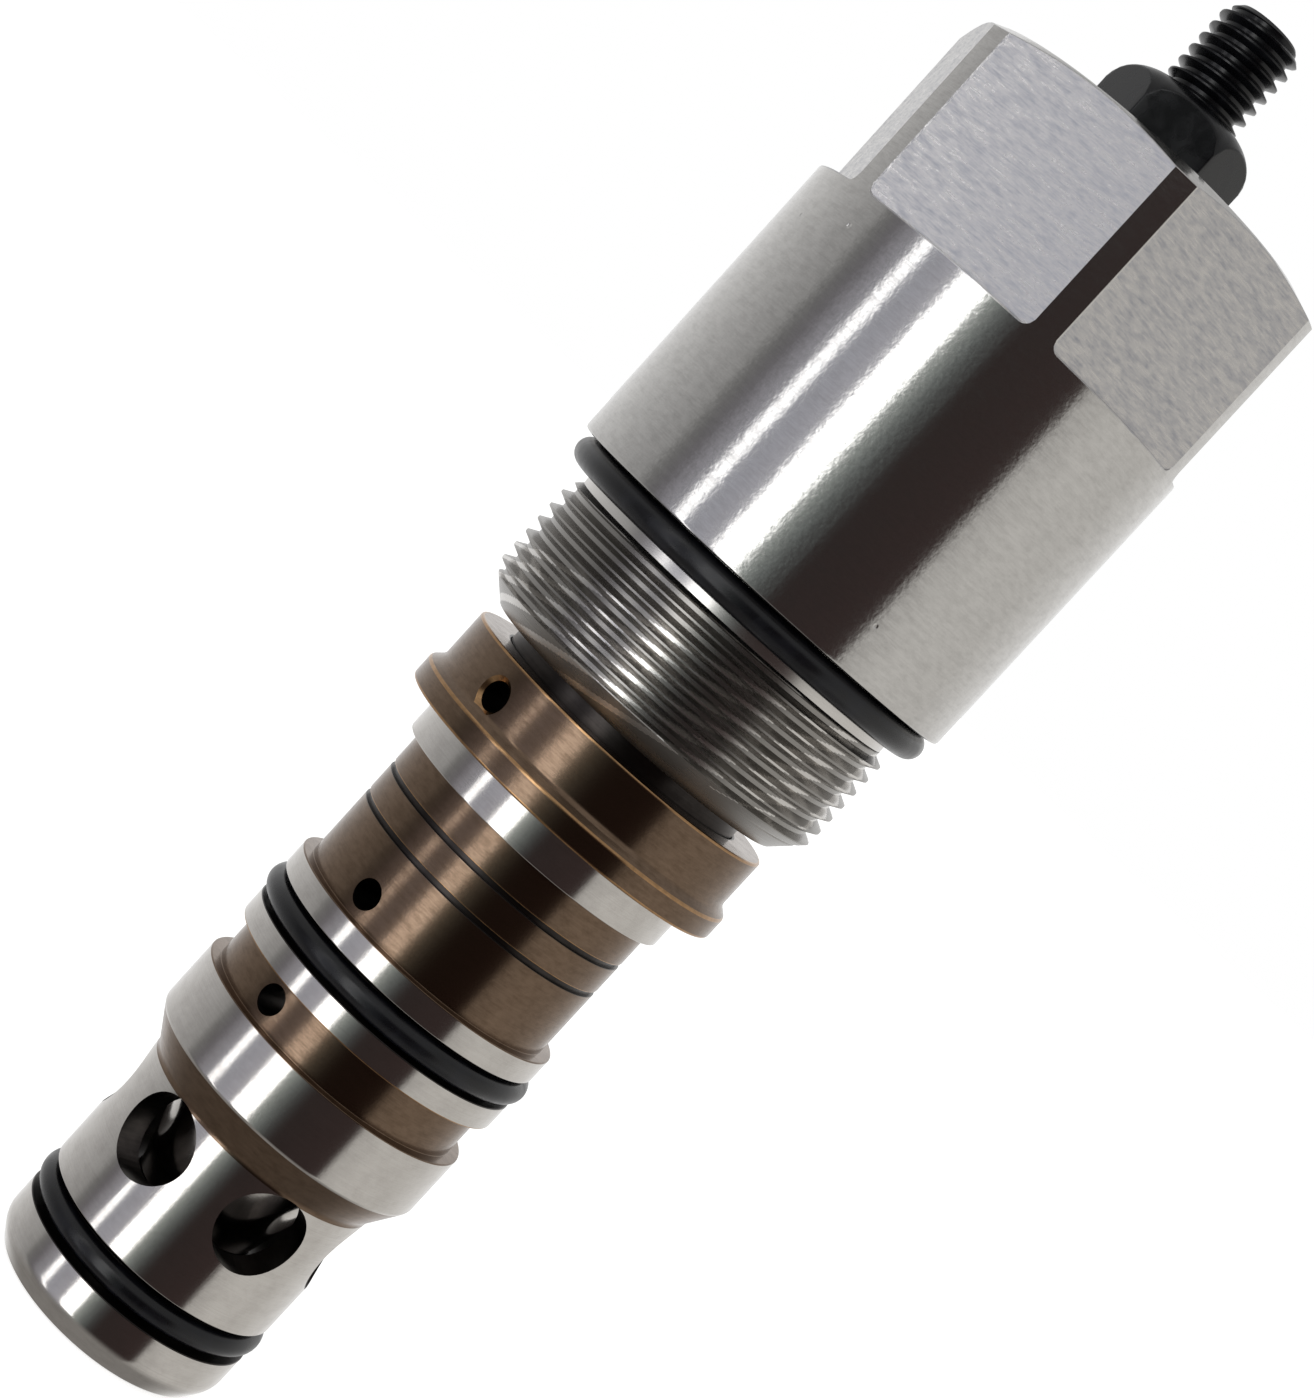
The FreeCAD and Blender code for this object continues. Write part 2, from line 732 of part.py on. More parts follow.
# ---------------------------------------------------------------------------------------------
# Every piece, by node name
# ---------------------------------------------------------------------------------------------
pieces = {
    "valve_body": make_valve_body,
    "body_o_ring": make_body_o_ring,
    "pilot_housing": make_pilot_housing,
    "pilot_housing_o_ring": make_pilot_housing_o_ring,
    "pilot_seat": make_pilot_seat,
    "pilot_seat_o_ring": make_pilot_seat_o_ring,
    "sleeve": make_sleeve,
    "sleeve_retaining_ring": make_sleeve_retaining_ring,
    "mid_o_ring": make_mid_o_ring,
    "nose_o_ring": make_nose_o_ring,
    "main_poppet": make_main_poppet,
    "poppet_orifice": make_poppet_orifice,
    "poppet_screen": make_poppet_screen,
    "main_spring": make_main_spring,
    "pilot_poppet": make_pilot_poppet,
    "pilot_spring": make_pilot_spring,
    "spring_shim": make_spring_shim,
    "spring_plunger": make_spring_plunger,
    "plunger_o_ring": make_plunger_o_ring,
    "plunger_backup_ring": make_plunger_backup_ring,
    "adjusting_screw": make_adjusting_screw,
    "lock_nut": make_lock_nut,
    "nut_seal": make_nut_seal,
}

os.makedirs("parts", exist_ok=True)
for name, make in pieces.items():
    shape = make()
    shape.exportStep(os.path.join("parts", name + ".step"))
    print(name, shape.isValid(), round(shape.Volume, 3))
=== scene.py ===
import logging
import math
from dataclasses import dataclass
from enum import Enum
from typing import Callable, Sequence

import bmesh
import bpy
from mathutils import Matrix, Vector


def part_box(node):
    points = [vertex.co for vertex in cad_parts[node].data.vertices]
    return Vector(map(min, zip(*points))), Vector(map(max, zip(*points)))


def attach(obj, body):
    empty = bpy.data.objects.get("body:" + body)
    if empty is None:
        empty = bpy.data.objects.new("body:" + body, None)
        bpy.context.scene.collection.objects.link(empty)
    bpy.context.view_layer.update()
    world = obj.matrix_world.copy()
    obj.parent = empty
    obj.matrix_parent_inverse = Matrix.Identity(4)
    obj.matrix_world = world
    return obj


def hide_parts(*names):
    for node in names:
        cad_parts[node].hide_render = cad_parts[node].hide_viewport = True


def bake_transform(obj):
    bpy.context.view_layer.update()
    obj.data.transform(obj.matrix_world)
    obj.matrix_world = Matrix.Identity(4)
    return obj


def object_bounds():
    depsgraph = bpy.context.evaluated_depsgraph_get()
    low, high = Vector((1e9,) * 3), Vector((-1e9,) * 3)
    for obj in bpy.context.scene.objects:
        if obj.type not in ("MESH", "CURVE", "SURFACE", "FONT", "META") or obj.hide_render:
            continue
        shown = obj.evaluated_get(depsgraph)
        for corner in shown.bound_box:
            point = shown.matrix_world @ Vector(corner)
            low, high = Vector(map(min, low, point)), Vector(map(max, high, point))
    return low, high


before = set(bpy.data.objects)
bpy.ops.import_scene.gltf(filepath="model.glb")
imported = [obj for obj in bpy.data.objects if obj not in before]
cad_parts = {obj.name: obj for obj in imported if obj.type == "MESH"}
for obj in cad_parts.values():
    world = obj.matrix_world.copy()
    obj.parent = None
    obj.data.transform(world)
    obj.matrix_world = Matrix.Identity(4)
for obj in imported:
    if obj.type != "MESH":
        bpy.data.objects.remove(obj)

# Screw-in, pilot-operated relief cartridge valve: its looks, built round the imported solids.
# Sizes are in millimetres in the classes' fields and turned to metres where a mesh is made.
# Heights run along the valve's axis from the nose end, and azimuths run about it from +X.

CAD_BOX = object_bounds()
MM = 0.001
MICRON = 0.000001
WELD = 0.000001
PIT_SPACING_MM = 5.5
# of half a thread's pitch: the root and the crest; of its depth: where the crests' painted highlight starts
ROOT_SHARE, CREST_SHARE, CREST_LIGHT_SHARE = 0.25, 0.125, 0.75
ROUND_STEPS = 4
RING_STEPS, CORD_STEPS, WIRE_STEPS = 192, 32, 14
COIL_STEPS = 48.0
THREAD_ROWS = 16.0
SHARP_DEGREES = 24.0
LOG = logging.getLogger("cartridge_valve")

# finish numbers of the sleeve's outline: ground, brown, bored with painted shade, edge wear with a painted
# glint
BRIGHT, TONE, BORE_SHADE, WEAR_GLINT = range(4)

Point = tuple[float, float, int]
Outline = Callable[[float], list[Point]]


class Group(Enum):
    """The moving groups of the frame that the pieces ride on."""

    HOUSING = "housing"
    SLEEVE = "valve_sleeve"
    MAIN_POPPET = "main_poppet_group"
    PILOT_POPPET = "pilot_poppet_group"
    PLUNGER = "plunger_group"
    SCREW = "screw_group"
    NUT = "nut_group"


class Surface(Enum):
    """The finishes that the valve's pieces are made with."""

    TURNED = "zinc-plated steel, fine turned"
    MILLED = "zinc-plated steel, milled flats"
    LIT_CREST = "zinc-plated steel, burnished thread crests"
    SHADED_FLANK = "zinc-plated steel, oily thread flanks"
    TONED = "nitrocarburised steel, brown oxide"
    GLINTING_WEAR = "nitrocarburised steel, edge wear with a painted glint"
    GROUND = "hardened steel, cylindrical ground"
    SHADED_BORE = "hardened steel, bored, darkened as painted shade"
    DRAWN = "spring steel, drawn wire"
    SINTERED = "bronze, sintered"
    BLACKENED = "steel, black oxide and oil"
    NITRILE = "nitrile rubber, moulded"
    PTFE = "PTFE, turned back-up ring"


def linear(colour: str) -> tuple[float, float, float, float]:
    """Turn an sRGB hex colour to linear.

    Args:
        colour: six hex digits after a hash sign.

    Returns:
        Linear red, green, blue and an alpha of one.
    """
    shares = [int(colour[start:start + 2], 16) / 255 for start in (1, 3, 5)]
    values = [s / 12.92 if s <= 0.04045 else ((s + 0.055) / 1.055) ** 2.4 for s in shares]
    return (values[0], values[1], values[2], 1.0)


def feed(tree: bpy.types.NodeTree, node: bpy.types.Node, inputs: dict) -> None:
    """Give a node's sockets their values and links.

    Args:
        tree: the tree that the node is in.
        node: the node.
        inputs: socket names or numbers, each with a value or the output socket to link from.
    """
    for key, value in inputs.items():
        if isinstance(value, bpy.types.NodeSocket):
            tree.links.new(value, node.inputs[key])
        else:
            node.inputs[key].default_value = value


def add(tree: bpy.types.NodeTree, kind: str, inputs: dict | None = None,
        **settings: object) -> bpy.types.Node:
    """Add one node with its settings, values and links.

    Args:
        tree: the tree that the node goes in.
        kind: the node's type name.
        inputs: the values and links that feed() gives to its sockets.
        settings: properties of the node itself.

    Returns:
        The new node.
    """
    node = tree.nodes.new(kind)
    for key, value in settings.items():
        setattr(node, key, value)
    feed(tree, node, inputs or {})
    return node


def start_material(name: str) -> tuple[bpy.types.Material, bpy.types.Node, bpy.types.NodeSocket]:
    """Return a new node material, its shader and a socket of Object coordinates."""
    material = bpy.data.materials.new(name)
    material.use_nodes = True
    tree = material.node_tree
    return material, tree.nodes["Principled BSDF"], add(tree, "ShaderNodeTexCoord").outputs["Object"]


def scale_of(across: float, along: float) -> tuple[float, float, float]:
    """Return the mapping scale of a pattern with one size across the axis and one along it, in mm."""
    return (1 / (across * MM), 1 / (across * MM), 1 / (along * MM))


@dataclass(frozen=True)
class SteelFinish:
    """A bare, plated or toned steel surface with tool marks that run round the axis.

    The marks are streaks: short in height, long round the axis. Their bump spreads a highlight
    along the axis, as a lathe's or a grinder's grooves do. Patches are plating or oxide clouds.
    """

    surface: Surface
    colour: str
    patch_colour: str
    patch_mm: float = 2.0
    patch_stretch: float = 1.6
    patch_share: float = 0.5
    roughness: float = 0.2
    roughness_spread: float = 0.08
    mark_mm: float = 0.15
    mark_length_mm: float = 6.0
    mark_depth_um: float = 1.0
    wave_mm: float = 0.6
    wave_depth_um: float = 1.0
    pit_depth_um: float = 0.0
    anisotropy: float = 0.5

    def build(self) -> bpy.types.Material:
        """Make the material.

        Returns:
            A node material named for the steel and how its surface was made.
        """
        material, shader, place = start_material(self.surface.value)
        tree = material.node_tree
        # tool marks: streaks one spacing high and many spacings long
        stretched = add(tree, "ShaderNodeMapping", {
            "Vector": place, "Scale": scale_of(self.mark_length_mm, self.mark_mm)})
        marks = add(tree, "ShaderNodeTexNoise", {
            "Vector": stretched.outputs[0], "Scale": 1.0, "Detail": 3.0}).outputs["Fac"]
        # clouds in the plating or the oxide, drawn out a little round the axis
        spread = add(tree, "ShaderNodeMapping", {
            "Vector": place, "Scale": scale_of(self.patch_mm * self.patch_stretch, self.patch_mm)})
        clouds = add(tree, "ShaderNodeTexNoise", {
            "Vector": spread.outputs[0], "Scale": 1.0, "Detail": 6.0, "Roughness": 0.7}).outputs["Fac"]
        share = add(tree, "ShaderNodeMapRange", {
            "Value": clouds, "From Min": 0.42, "From Max": 0.68, "To Max": self.patch_share})
        streaks = add(tree, "ShaderNodeMapRange", {
            "Value": marks, "From Min": 0.35, "From Max": 0.75, "To Max": self.patch_share * 0.6})
        both = add(tree, "ShaderNodeMath", {0: share.outputs[0], 1: streaks.outputs[0]},
                   operation="ADD", use_clamp=True).outputs[0]
        tint = add(tree, "ShaderNodeMix", {
            0: both, 6: linear(self.colour), 7: linear(self.patch_colour)}, data_type="RGBA")
        rough = add(tree, "ShaderNodeMapRange", {
            "Value": both, "To Min": self.roughness, "To Max": self.roughness + self.roughness_spread})
        # handling marks and orange peel, which make the highlights' edges ragged
        fine = add(tree, "ShaderNodeTexNoise", {
            "Vector": place, "Scale": 1 / (self.wave_mm * MM), "Detail": 4.0}).outputs["Fac"]
        reliefs = [(fine, self.wave_depth_um), (marks, self.mark_depth_um)]
        if self.pit_depth_um:
            # sparse pits a few tenths of a millimetre wide
            cells = add(tree, "ShaderNodeTexVoronoi", {"Vector": place, "Scale": 1 / (PIT_SPACING_MM * MM)})
            pits = add(tree, "ShaderNodeMapRange", {
                "Value": cells.outputs["Distance"], "From Min": 0.02, "From Max": 0.045})
            reliefs.append((pits.outputs[0], self.pit_depth_um))
        normal = {}
        for height, depth in reliefs:
            bump = add(tree, "ShaderNodeBump", {
                "Height": height, "Strength": 1.0, "Distance": depth * MICRON, **normal})
            normal = {"Normal": bump.outputs[0]}
        feed(tree, shader, {
            "Metallic": 1.0, "Anisotropic": self.anisotropy, "Anisotropic Rotation": 0.25,
            "Base Color": tint.outputs[2], "Roughness": rough.outputs[0], **normal})
        return material


@dataclass(frozen=True)
class DullFinish:
    """A surface that isn't bare metal: rubber, plastic or an oiled black oxide.

    Fine grain breaks its gloss, and smears of oil or dust change the roughness in patches.
    """

    surface: Surface
    colour: str
    smear_colour: str
    smear_mm: float = 3.0
    roughness: float = 0.3
    roughness_spread: float = 0.15
    grain_mm: float = 0.12
    grain_depth_um: float = 1.5
    refraction: float = 1.5
    coat: float = 0.0

    def build(self) -> bpy.types.Material:
        """Make the material.

        Returns:
            A node material named for what the piece is made of.
        """
        material, shader, place = start_material(self.surface.value)
        tree = material.node_tree
        smears = add(tree, "ShaderNodeTexNoise", {
            "Vector": place, "Scale": 1 / (self.smear_mm * MM), "Detail": 4.0, "Distortion": 0.6})
        share = add(tree, "ShaderNodeMapRange", {
            "Value": smears.outputs["Fac"], "From Min": 0.4, "From Max": 0.7}).outputs[0]
        tint = add(tree, "ShaderNodeMix", {
            0: share, 6: linear(self.colour), 7: linear(self.smear_colour)}, data_type="RGBA")
        rough = add(tree, "ShaderNodeMapRange", {
            "Value": share, "To Min": self.roughness, "To Max": self.roughness + self.roughness_spread})
        grain = add(tree, "ShaderNodeTexNoise", {
            "Vector": place, "Scale": 1 / (self.grain_mm * MM), "Detail": 2.0})
        bump = add(tree, "ShaderNodeBump", {
            "Height": grain.outputs["Fac"], "Strength": 1.0, "Distance": self.grain_depth_um * MICRON})
        feed(tree, shader, {
            "IOR": self.refraction, "Coat Weight": self.coat, "Coat Roughness": 0.12,
            "Base Color": tint.outputs[2], "Roughness": rough.outputs[0], "Normal": bump.outputs[0]})
        return material


# rolled threads: long faint marks, with no streaks that would break a crest's line
THREAD_MARKS = {"patch_stretch": 3.0, "patch_share": 0.3, "mark_length_mm": 12.0, "mark_depth_um": 0.4,
                "wave_mm": 2.0, "wave_depth_um": 1.5, "anisotropy": 0.0}
FINISHES: tuple[SteelFinish | DullFinish, ...] = (
    # bright zinc over fine turning: silver, with short grey clouds and soft ragged highlights
    SteelFinish(
        Surface.TURNED, "#d8d6d3", "#b3b1ae", patch_mm=0.6, patch_stretch=2.5, patch_share=0.4,
        roughness=0.12, roughness_spread=0.12, mark_mm=0.14, mark_length_mm=2.2, mark_depth_um=4.0,
        wave_mm=0.45, wave_depth_um=9.0, pit_depth_um=60.0),
    # the same zinc over milling: duller, with dense level scuffs
    SteelFinish(
        Surface.MILLED, "#d6d3d0", "#9fa2ac", patch_mm=0.5, patch_stretch=3.6, patch_share=0.55,
        roughness=0.26, roughness_spread=0.16, mark_mm=0.12, mark_length_mm=1.5, mark_depth_um=12.0,
        wave_mm=0.35, wave_depth_um=12.0, anisotropy=0.3),
    # the crests are a lighter copy of the zinc, a painted highlight, so they show as thin bright lines
    SteelFinish(Surface.LIT_CREST, "#e2dfdb", "#cfcbc7", roughness=0.22, **THREAD_MARKS),
    # flanks and roots are a darker copy of the zinc: painted shade between the crests
    SteelFinish(Surface.SHADED_FLANK, "#a09d99", "#85827f", roughness=0.26, **THREAD_MARKS),
    # a brown oxide skin: bronze where light strikes it, nearly black where it doesn't
    SteelFinish(
        Surface.TONED, "#7f6b5a", "#5f4d3d", patch_mm=0.5, patch_stretch=2.5, roughness=0.18,
        roughness_spread=0.1, mark_mm=0.13, mark_length_mm=3.0, mark_depth_um=2.0, wave_mm=0.3,
        wave_depth_um=3.5),
    # the same skin abraded through at a corner, and lighter for a painted glint: a thin golden line
    SteelFinish(Surface.GLINTING_WEAR, "#b8926a", "#8a6c4c", patch_mm=0.5, mark_length_mm=1.5),
    # ground and lightly lapped: crisp light bands with a fine sheen
    SteelFinish(
        Surface.GROUND, "#d8d4cf", "#bcb7b2", patch_mm=1.4, patch_share=0.4, roughness=0.12,
        mark_mm=0.11, mark_depth_um=1.4, wave_mm=0.35, wave_depth_um=2.4),
    # bores see little light, so they are darkened in colour: painted shade
    SteelFinish(Surface.SHADED_BORE, "#45413f", "#2b2827", roughness=0.3),
    # drawn wire: grey with a dull shine
    SteelFinish(Surface.DRAWN, "#a9a49e", "#7d7873", patch_mm=0.8, roughness=0.28),
    # sintered bronze: coarse grains, warm brown
    SteelFinish(
        Surface.SINTERED, "#b08a55", "#6f5030", patch_mm=0.3, patch_share=0.9, roughness=0.45,
        mark_mm=0.2, mark_length_mm=0.2, mark_depth_um=20.0, anisotropy=0.0),
    # black oxide with an oil film: black, with faint blue-grey glints on its edges
    DullFinish(
        Surface.BLACKENED, "#060608", "#0e0f12", smear_mm=1.6, roughness=0.2, roughness_spread=0.14,
        grain_mm=0.15, grain_depth_um=2.0, refraction=1.42),
    # moulded nitrile with a trace of oil: deep black, one soft clean highlight
    DullFinish(
        Surface.NITRILE, "#08080b", "#101116", roughness=0.24, roughness_spread=0.14, refraction=1.42,
        coat=0.08),
    # PTFE: waxy off-white
    DullFinish(Surface.PTFE, "#e4e1d8", "#d6d2c6", roughness=0.4, refraction=1.35),
)


class FinishShelf:
    """Keeps one material for each finish."""

    def __init__(self) -> None:
        """Build every material once."""
        self.materials = {finish.surface: finish.build() for finish in FINISHES}

    def pick(self, surface: Surface) -> bpy.types.Material:
        """Return the material of one finish."""
        return self.materials[surface]


@dataclass(frozen=True)
class Corner:
    """A corner of a turned outline: its rounding, the finish of what follows it, and its edge's own."""

    radius: float
    height: float
    rounding: float = 0.0
    finish: int = 0
    edge: int | None = None


def soften(corners: Sequence[Corner]) -> list[Point]:
    """Round an outline's corners with short curves.

    Args:
        corners: the closed outline, up the outside and down the inside.

    Returns:
        Points of radius, height and finish number.
    """
    points: list[Point] = []
    for number, corner in enumerate(corners):
        here = Vector((corner.radius, corner.height))
        if not corner.rounding:
            points.append((here.x, here.y, corner.finish))
            continue
        sides = [corners[number - 1], corners[(number + 1) % len(corners)]]
        arms = [Vector((side.radius, side.height)) - here for side in sides]
        start, end = [here + arm.normalized() * min(corner.rounding, arm.length * 0.45) for arm in arms]
        for step in range(ROUND_STEPS + 1):
            share = step / ROUND_STEPS
            point = start.lerp(here, share).lerp(here.lerp(end, share), share)
            # an edge's own finish goes on its rounding: wear with a painted glint
            edge_glint_step = corner.edge is not None and step < ROUND_STEPS
            points.append((point.x, point.y, corner.edge if edge_glint_step else corner.finish))
    return points


def evenly(count: int) -> list[float]:
    """Return azimuths in radians, evenly spaced round the axis from +X."""
    return [math.tau * number / count for number in range(count)]


def stand(name: str, data: bpy.types.ID | None) -> bpy.types.Object:
    """Return a new object with its data, linked to the scene."""
    thing = bpy.data.objects.new(name, data)
    bpy.context.scene.collection.objects.link(thing)
    return thing


def shell(name: str, azimuths: Sequence[float], outline: Outline, finishes: Sequence[bpy.types.Material],
          closed: bool = True) -> bpy.types.Object:
    """Make a piece from one outline at each azimuth.

    Args:
        name: the piece's name.
        azimuths: where the outlines stand, in radians.
        outline: gives the outline's points at an azimuth. Each has as many points as the others.
        finishes: the materials that the points' finish numbers pick from.
        closed: joins the last point to the first.

    Returns:
        An object at the origin, with its place in its mesh.
    """
    mesh = bpy.data.meshes.new(name)
    work = bmesh.new()
    columns = []
    for azimuth in azimuths:
        points = outline(azimuth)
        across, along = math.cos(azimuth), math.sin(azimuth)
        verts = [work.verts.new((r * across * MM, r * along * MM, z * MM)) for r, z, _ in points]
        columns.append((points, verts))
    for (points, left), (_, right) in zip(columns, columns[1:] + columns[:1]):
        for low in range(len(points) if closed else len(points) - 1):
            high = (low + 1) % len(points)
            if points[low][0] == 0 and points[high][0] == 0:
                continue
            face = work.faces.new((left[low], right[low], right[high], left[high]))
            face.material_index = points[low][2]
    bmesh.ops.remove_doubles(work, verts=work.verts, dist=WELD)
    bmesh.ops.delete(work, geom=[v for v in work.verts if not v.link_faces], context="VERTS")
    work.to_mesh(mesh)
    work.free()
    for material in finishes:
        mesh.materials.append(material)
    return stand(name, mesh)


def settle(piece: bpy.types.Object) -> None:
    """Turn a piece's modifiers into a plain mesh and clear them."""
    depsgraph = bpy.context.evaluated_depsgraph_get()
    mesh = bpy.data.meshes.new_from_object(piece.evaluated_get(depsgraph), depsgraph=depsgraph)
    piece.modifiers.clear()
    piece.data = mesh


def dress_edges(piece: bpy.types.Object) -> None:
    """Weld a piece, face it outwards, and shade it smooth between its sharp edges."""
    work = bmesh.new()
    work.from_mesh(piece.data)
    bmesh.ops.remove_doubles(work, verts=work.verts, dist=WELD)
    bmesh.ops.recalc_face_normals(work, faces=work.faces)
    work.to_mesh(piece.data)
    work.free()
    piece.data.polygons.foreach_set("use_smooth", [True] * len(piece.data.polygons))
    piece.data.set_sharp_from_angle(angle=math.radians(SHARP_DEGREES))
    weighted = piece.modifiers.new("even shading", "WEIGHTED_NORMAL")
    weighted.keep_sharp = True
    settle(piece)


@dataclass(frozen=True)
class Drilling:
    """A round hole from the axis outwards: its size, height, azimuth and reach."""

    diameter: float
    height: float
    azimuth: float
    start: float
    reach: float
    bevel: float = 0.0


def drill(piece: bpy.types.Object, drillings: Sequence[Drilling], finish: int, sides: int = 48) -> None:
    """Cut radial holes in a piece.

    Args:
        piece: the piece to cut.
        drillings: the holes. One with a bevel has a small cone at its reach.
        finish: the finish number of the holes' walls.
        sides: how many sides a hole has.
    """
    mesh = bpy.data.meshes.new("drills")
    work = bmesh.new()
    for hole in drillings:
        turn = Matrix.Rotation(math.radians(hole.azimuth), 4, "Z") @ Matrix.Rotation(math.pi / 2, 4, "Y")
        raised = Matrix.Translation((0, 0, hole.height * MM))
        pushed = Matrix.Translation((0, 0, (hole.start + hole.reach) / 2 * MM))
        bmesh.ops.create_cone(
            work, cap_ends=True, segments=sides, radius1=hole.diameter / 2 * MM,
            radius2=(hole.diameter / 2 + hole.bevel) * MM, depth=(hole.reach - hole.start) * MM,
            matrix=raised @ turn @ pushed)
    for face in work.faces:
        face.material_index = finish
    bmesh.ops.recalc_face_normals(work, faces=work.faces)
    work.to_mesh(mesh)
    work.free()
    for material in piece.data.materials:
        mesh.materials.append(material)
    cutter = stand("drills", mesh)
    cut = piece.modifiers.new("drillings", "BOOLEAN")
    cut.operation, cut.solver, cut.object = "DIFFERENCE", "EXACT", cutter
    settle(piece)
    bpy.data.objects.remove(cutter)


class Pattern:
    """A Geometry Nodes tree with named inputs, run on a piece and turned to a plain mesh."""

    def __init__(self, name: str, *sizes: str) -> None:
        """Start the tree.

        Args:
            name: the tree's name.
            sizes: the names of the inputs that are numbers.
        """
        self.tree = bpy.data.node_groups.new(name, "GeometryNodeTree")
        face = self.tree.interface
        face.new_socket("Geometry", in_out="OUTPUT", socket_type="NodeSocketGeometry")
        sockets = {"Geometry": "NodeSocketGeometry", **dict.fromkeys(sizes, "NodeSocketFloat"),
                   "Finish": "NodeSocketMaterial", "Crest Finish": "NodeSocketMaterial"}
        self.keys = {label: face.new_socket(label, in_out="INPUT", socket_type=kind).identifier
                     for label, kind in sockets.items()}
        self.given = self.tree.nodes.new("NodeGroupInput").outputs

    def sum_of(self, operation: str, first: object, second: object = 0.0) -> bpy.types.NodeSocket:
        """Add one step of arithmetic and return its result."""
        return add(self.tree, "ShaderNodeMath", {0: first, 1: second}, operation=operation).outputs[0]

    def around(self, radius: object, angle: object, height: object) -> bpy.types.NodeSocket:
        """Return the place at a radius, an angle about the axis and a height."""
        return add(self.tree, "ShaderNodeCombineXYZ", {
            "X": self.sum_of("MULTIPLY", radius, self.sum_of("COSINE", angle)),
            "Y": self.sum_of("MULTIPLY", radius, self.sum_of("SINE", angle)), "Z": height}).outputs[0]

    def mark(self, geometry: bpy.types.NodeSocket, choice: object) -> tuple[bpy.types.NodeSocket, ...]:
        """Note on a geometry's faces which of them a field chooses; return the geometry and the note."""
        noted = self.tree.nodes.new("GeometryNodeCaptureAttribute")
        noted.domain = "FACE"
        noted.capture_items.new("BOOLEAN", "chosen")
        feed(self.tree, noted, {0: geometry, 1: choice})
        return noted.outputs[0], noted.outputs[1]

    def end(self, geometry: bpy.types.NodeSocket, finishes: dict[str, object]) -> None:
        """Close the tree: instances made real, the finishes set, and the result given out.

        Args:
            geometry: what the tree made.
            finishes: the finish inputs, each with the faces that it goes on.
        """
        flow = add(self.tree, "GeometryNodeRealizeInstances", {"Geometry": geometry}).outputs[0]
        for label, faces in finishes.items():
            flow = add(self.tree, "GeometryNodeSetMaterial", {
                "Geometry": flow, "Selection": faces, "Material": self.given[label]}).outputs[0]
        add(self.tree, "NodeGroupOutput", {"Geometry": flow})

    def run(self, piece: bpy.types.Object, **values: object) -> None:
        """Run the tree on a piece.

        Args:
            piece: the piece that gets the tree's geometry.
            values: each input's value, by its name with underscores for spaces.
        """
        modifier = piece.modifiers.new(self.tree.name, "NODES")
        modifier.node_group = self.tree
        for label, value in values.items():
            modifier[self.keys[label.replace("_", " ")]] = value
        settle(piece)


def thread_pattern() -> Pattern:
    """Make the tree of an outside thread.

    Its grid is sheared, so that rows follow the helix. The profile is the standard one: 60 degree
    flanks, crests an eighth of the pitch wide and roots a quarter. Both ends run out at 45 degrees,
    where the grid welds to the piece that carries the thread.

    Returns:
        The tree, which keeps the geometry it is given.
    """
    pattern = Pattern("screw thread", "Foot", "Top", "Crest Radius", "Root Radius", "Foot Radius",
                      "Top Radius", "Pitch", "Rows", "Columns")
    tree, given, sums = pattern.tree, pattern.given, pattern.sum_of
    foot, top = given["Foot"], given["Top"]
    turns = sums("DIVIDE", sums("SUBTRACT", top, foot), given["Pitch"])
    rows = sums("CEIL", sums("MULTIPLY", sums("ADD", turns, 2.0), given["Rows"]))
    grid = add(tree, "GeometryNodeMeshGrid", {
        "Vertices X": sums("ADD", given["Columns"], 1.0), "Vertices Y": rows})
    index = add(tree, "GeometryNodeInputIndex").outputs[0]
    column = sums("FLOOR", sums("DIVIDE", sums("ADD", index, 0.5), rows))
    row = sums("SUBTRACT", index, sums("MULTIPLY", column, rows))
    turned = sums("DIVIDE", column, given["Columns"])
    angle = sums("MULTIPLY", turned, math.tau)
    risen = sums("ADD", sums("DIVIDE", row, given["Rows"]), sums("SUBTRACT", turned, 1.0))
    climb = sums("ADD", foot, sums("MULTIPLY", risen, given["Pitch"]))
    height = sums("MINIMUM", sums("MAXIMUM", climb, foot), top)
    half = sums("DIVIDE", given["Rows"], 2.0)
    wave = sums("DIVIDE", sums("PINGPONG", row, half), half)
    depth = {"To Min": given["Root Radius"], "To Max": given["Crest Radius"]}
    profile = add(tree, "ShaderNodeMapRange", {
        "Value": wave, "From Min": ROOT_SHARE, "From Max": 1 - CREST_SHARE, **depth})
    foot_limit = sums("ADD", given["Foot Radius"], sums("SUBTRACT", height, foot))
    top_limit = sums("ADD", given["Top Radius"], sums("SUBTRACT", top, height))
    radius = sums("MINIMUM", profile.outputs[0], sums("MINIMUM", foot_limit, top_limit))
    moved = add(tree, "GeometryNodeSetPosition", {
        "Geometry": grid.outputs[0], "Position": pattern.around(radius, angle, height)})
    whole, on_thread = pattern.mark(moved.outputs[0], True)
    # faces above this radius take the lighter zinc (painted highlight), the others the darker zinc (painted
    # shade)
    crest_light_start = add(tree, "ShaderNodeMapRange", {"Value": CREST_LIGHT_SHARE, **depth})
    crested, on_crest = pattern.mark(whole, sums("GREATER_THAN", radius, crest_light_start.outputs[0]))
    joined = add(tree, "GeometryNodeJoinGeometry", {0: crested})
    feed(tree, joined, {0: given["Geometry"]})
    welded = add(tree, "GeometryNodeMergeByDistance", {"Geometry": joined.outputs[0], "Distance": WELD})
    pattern.end(welded.outputs[0], {"Finish": on_thread, "Crest Finish": on_crest})
    return pattern


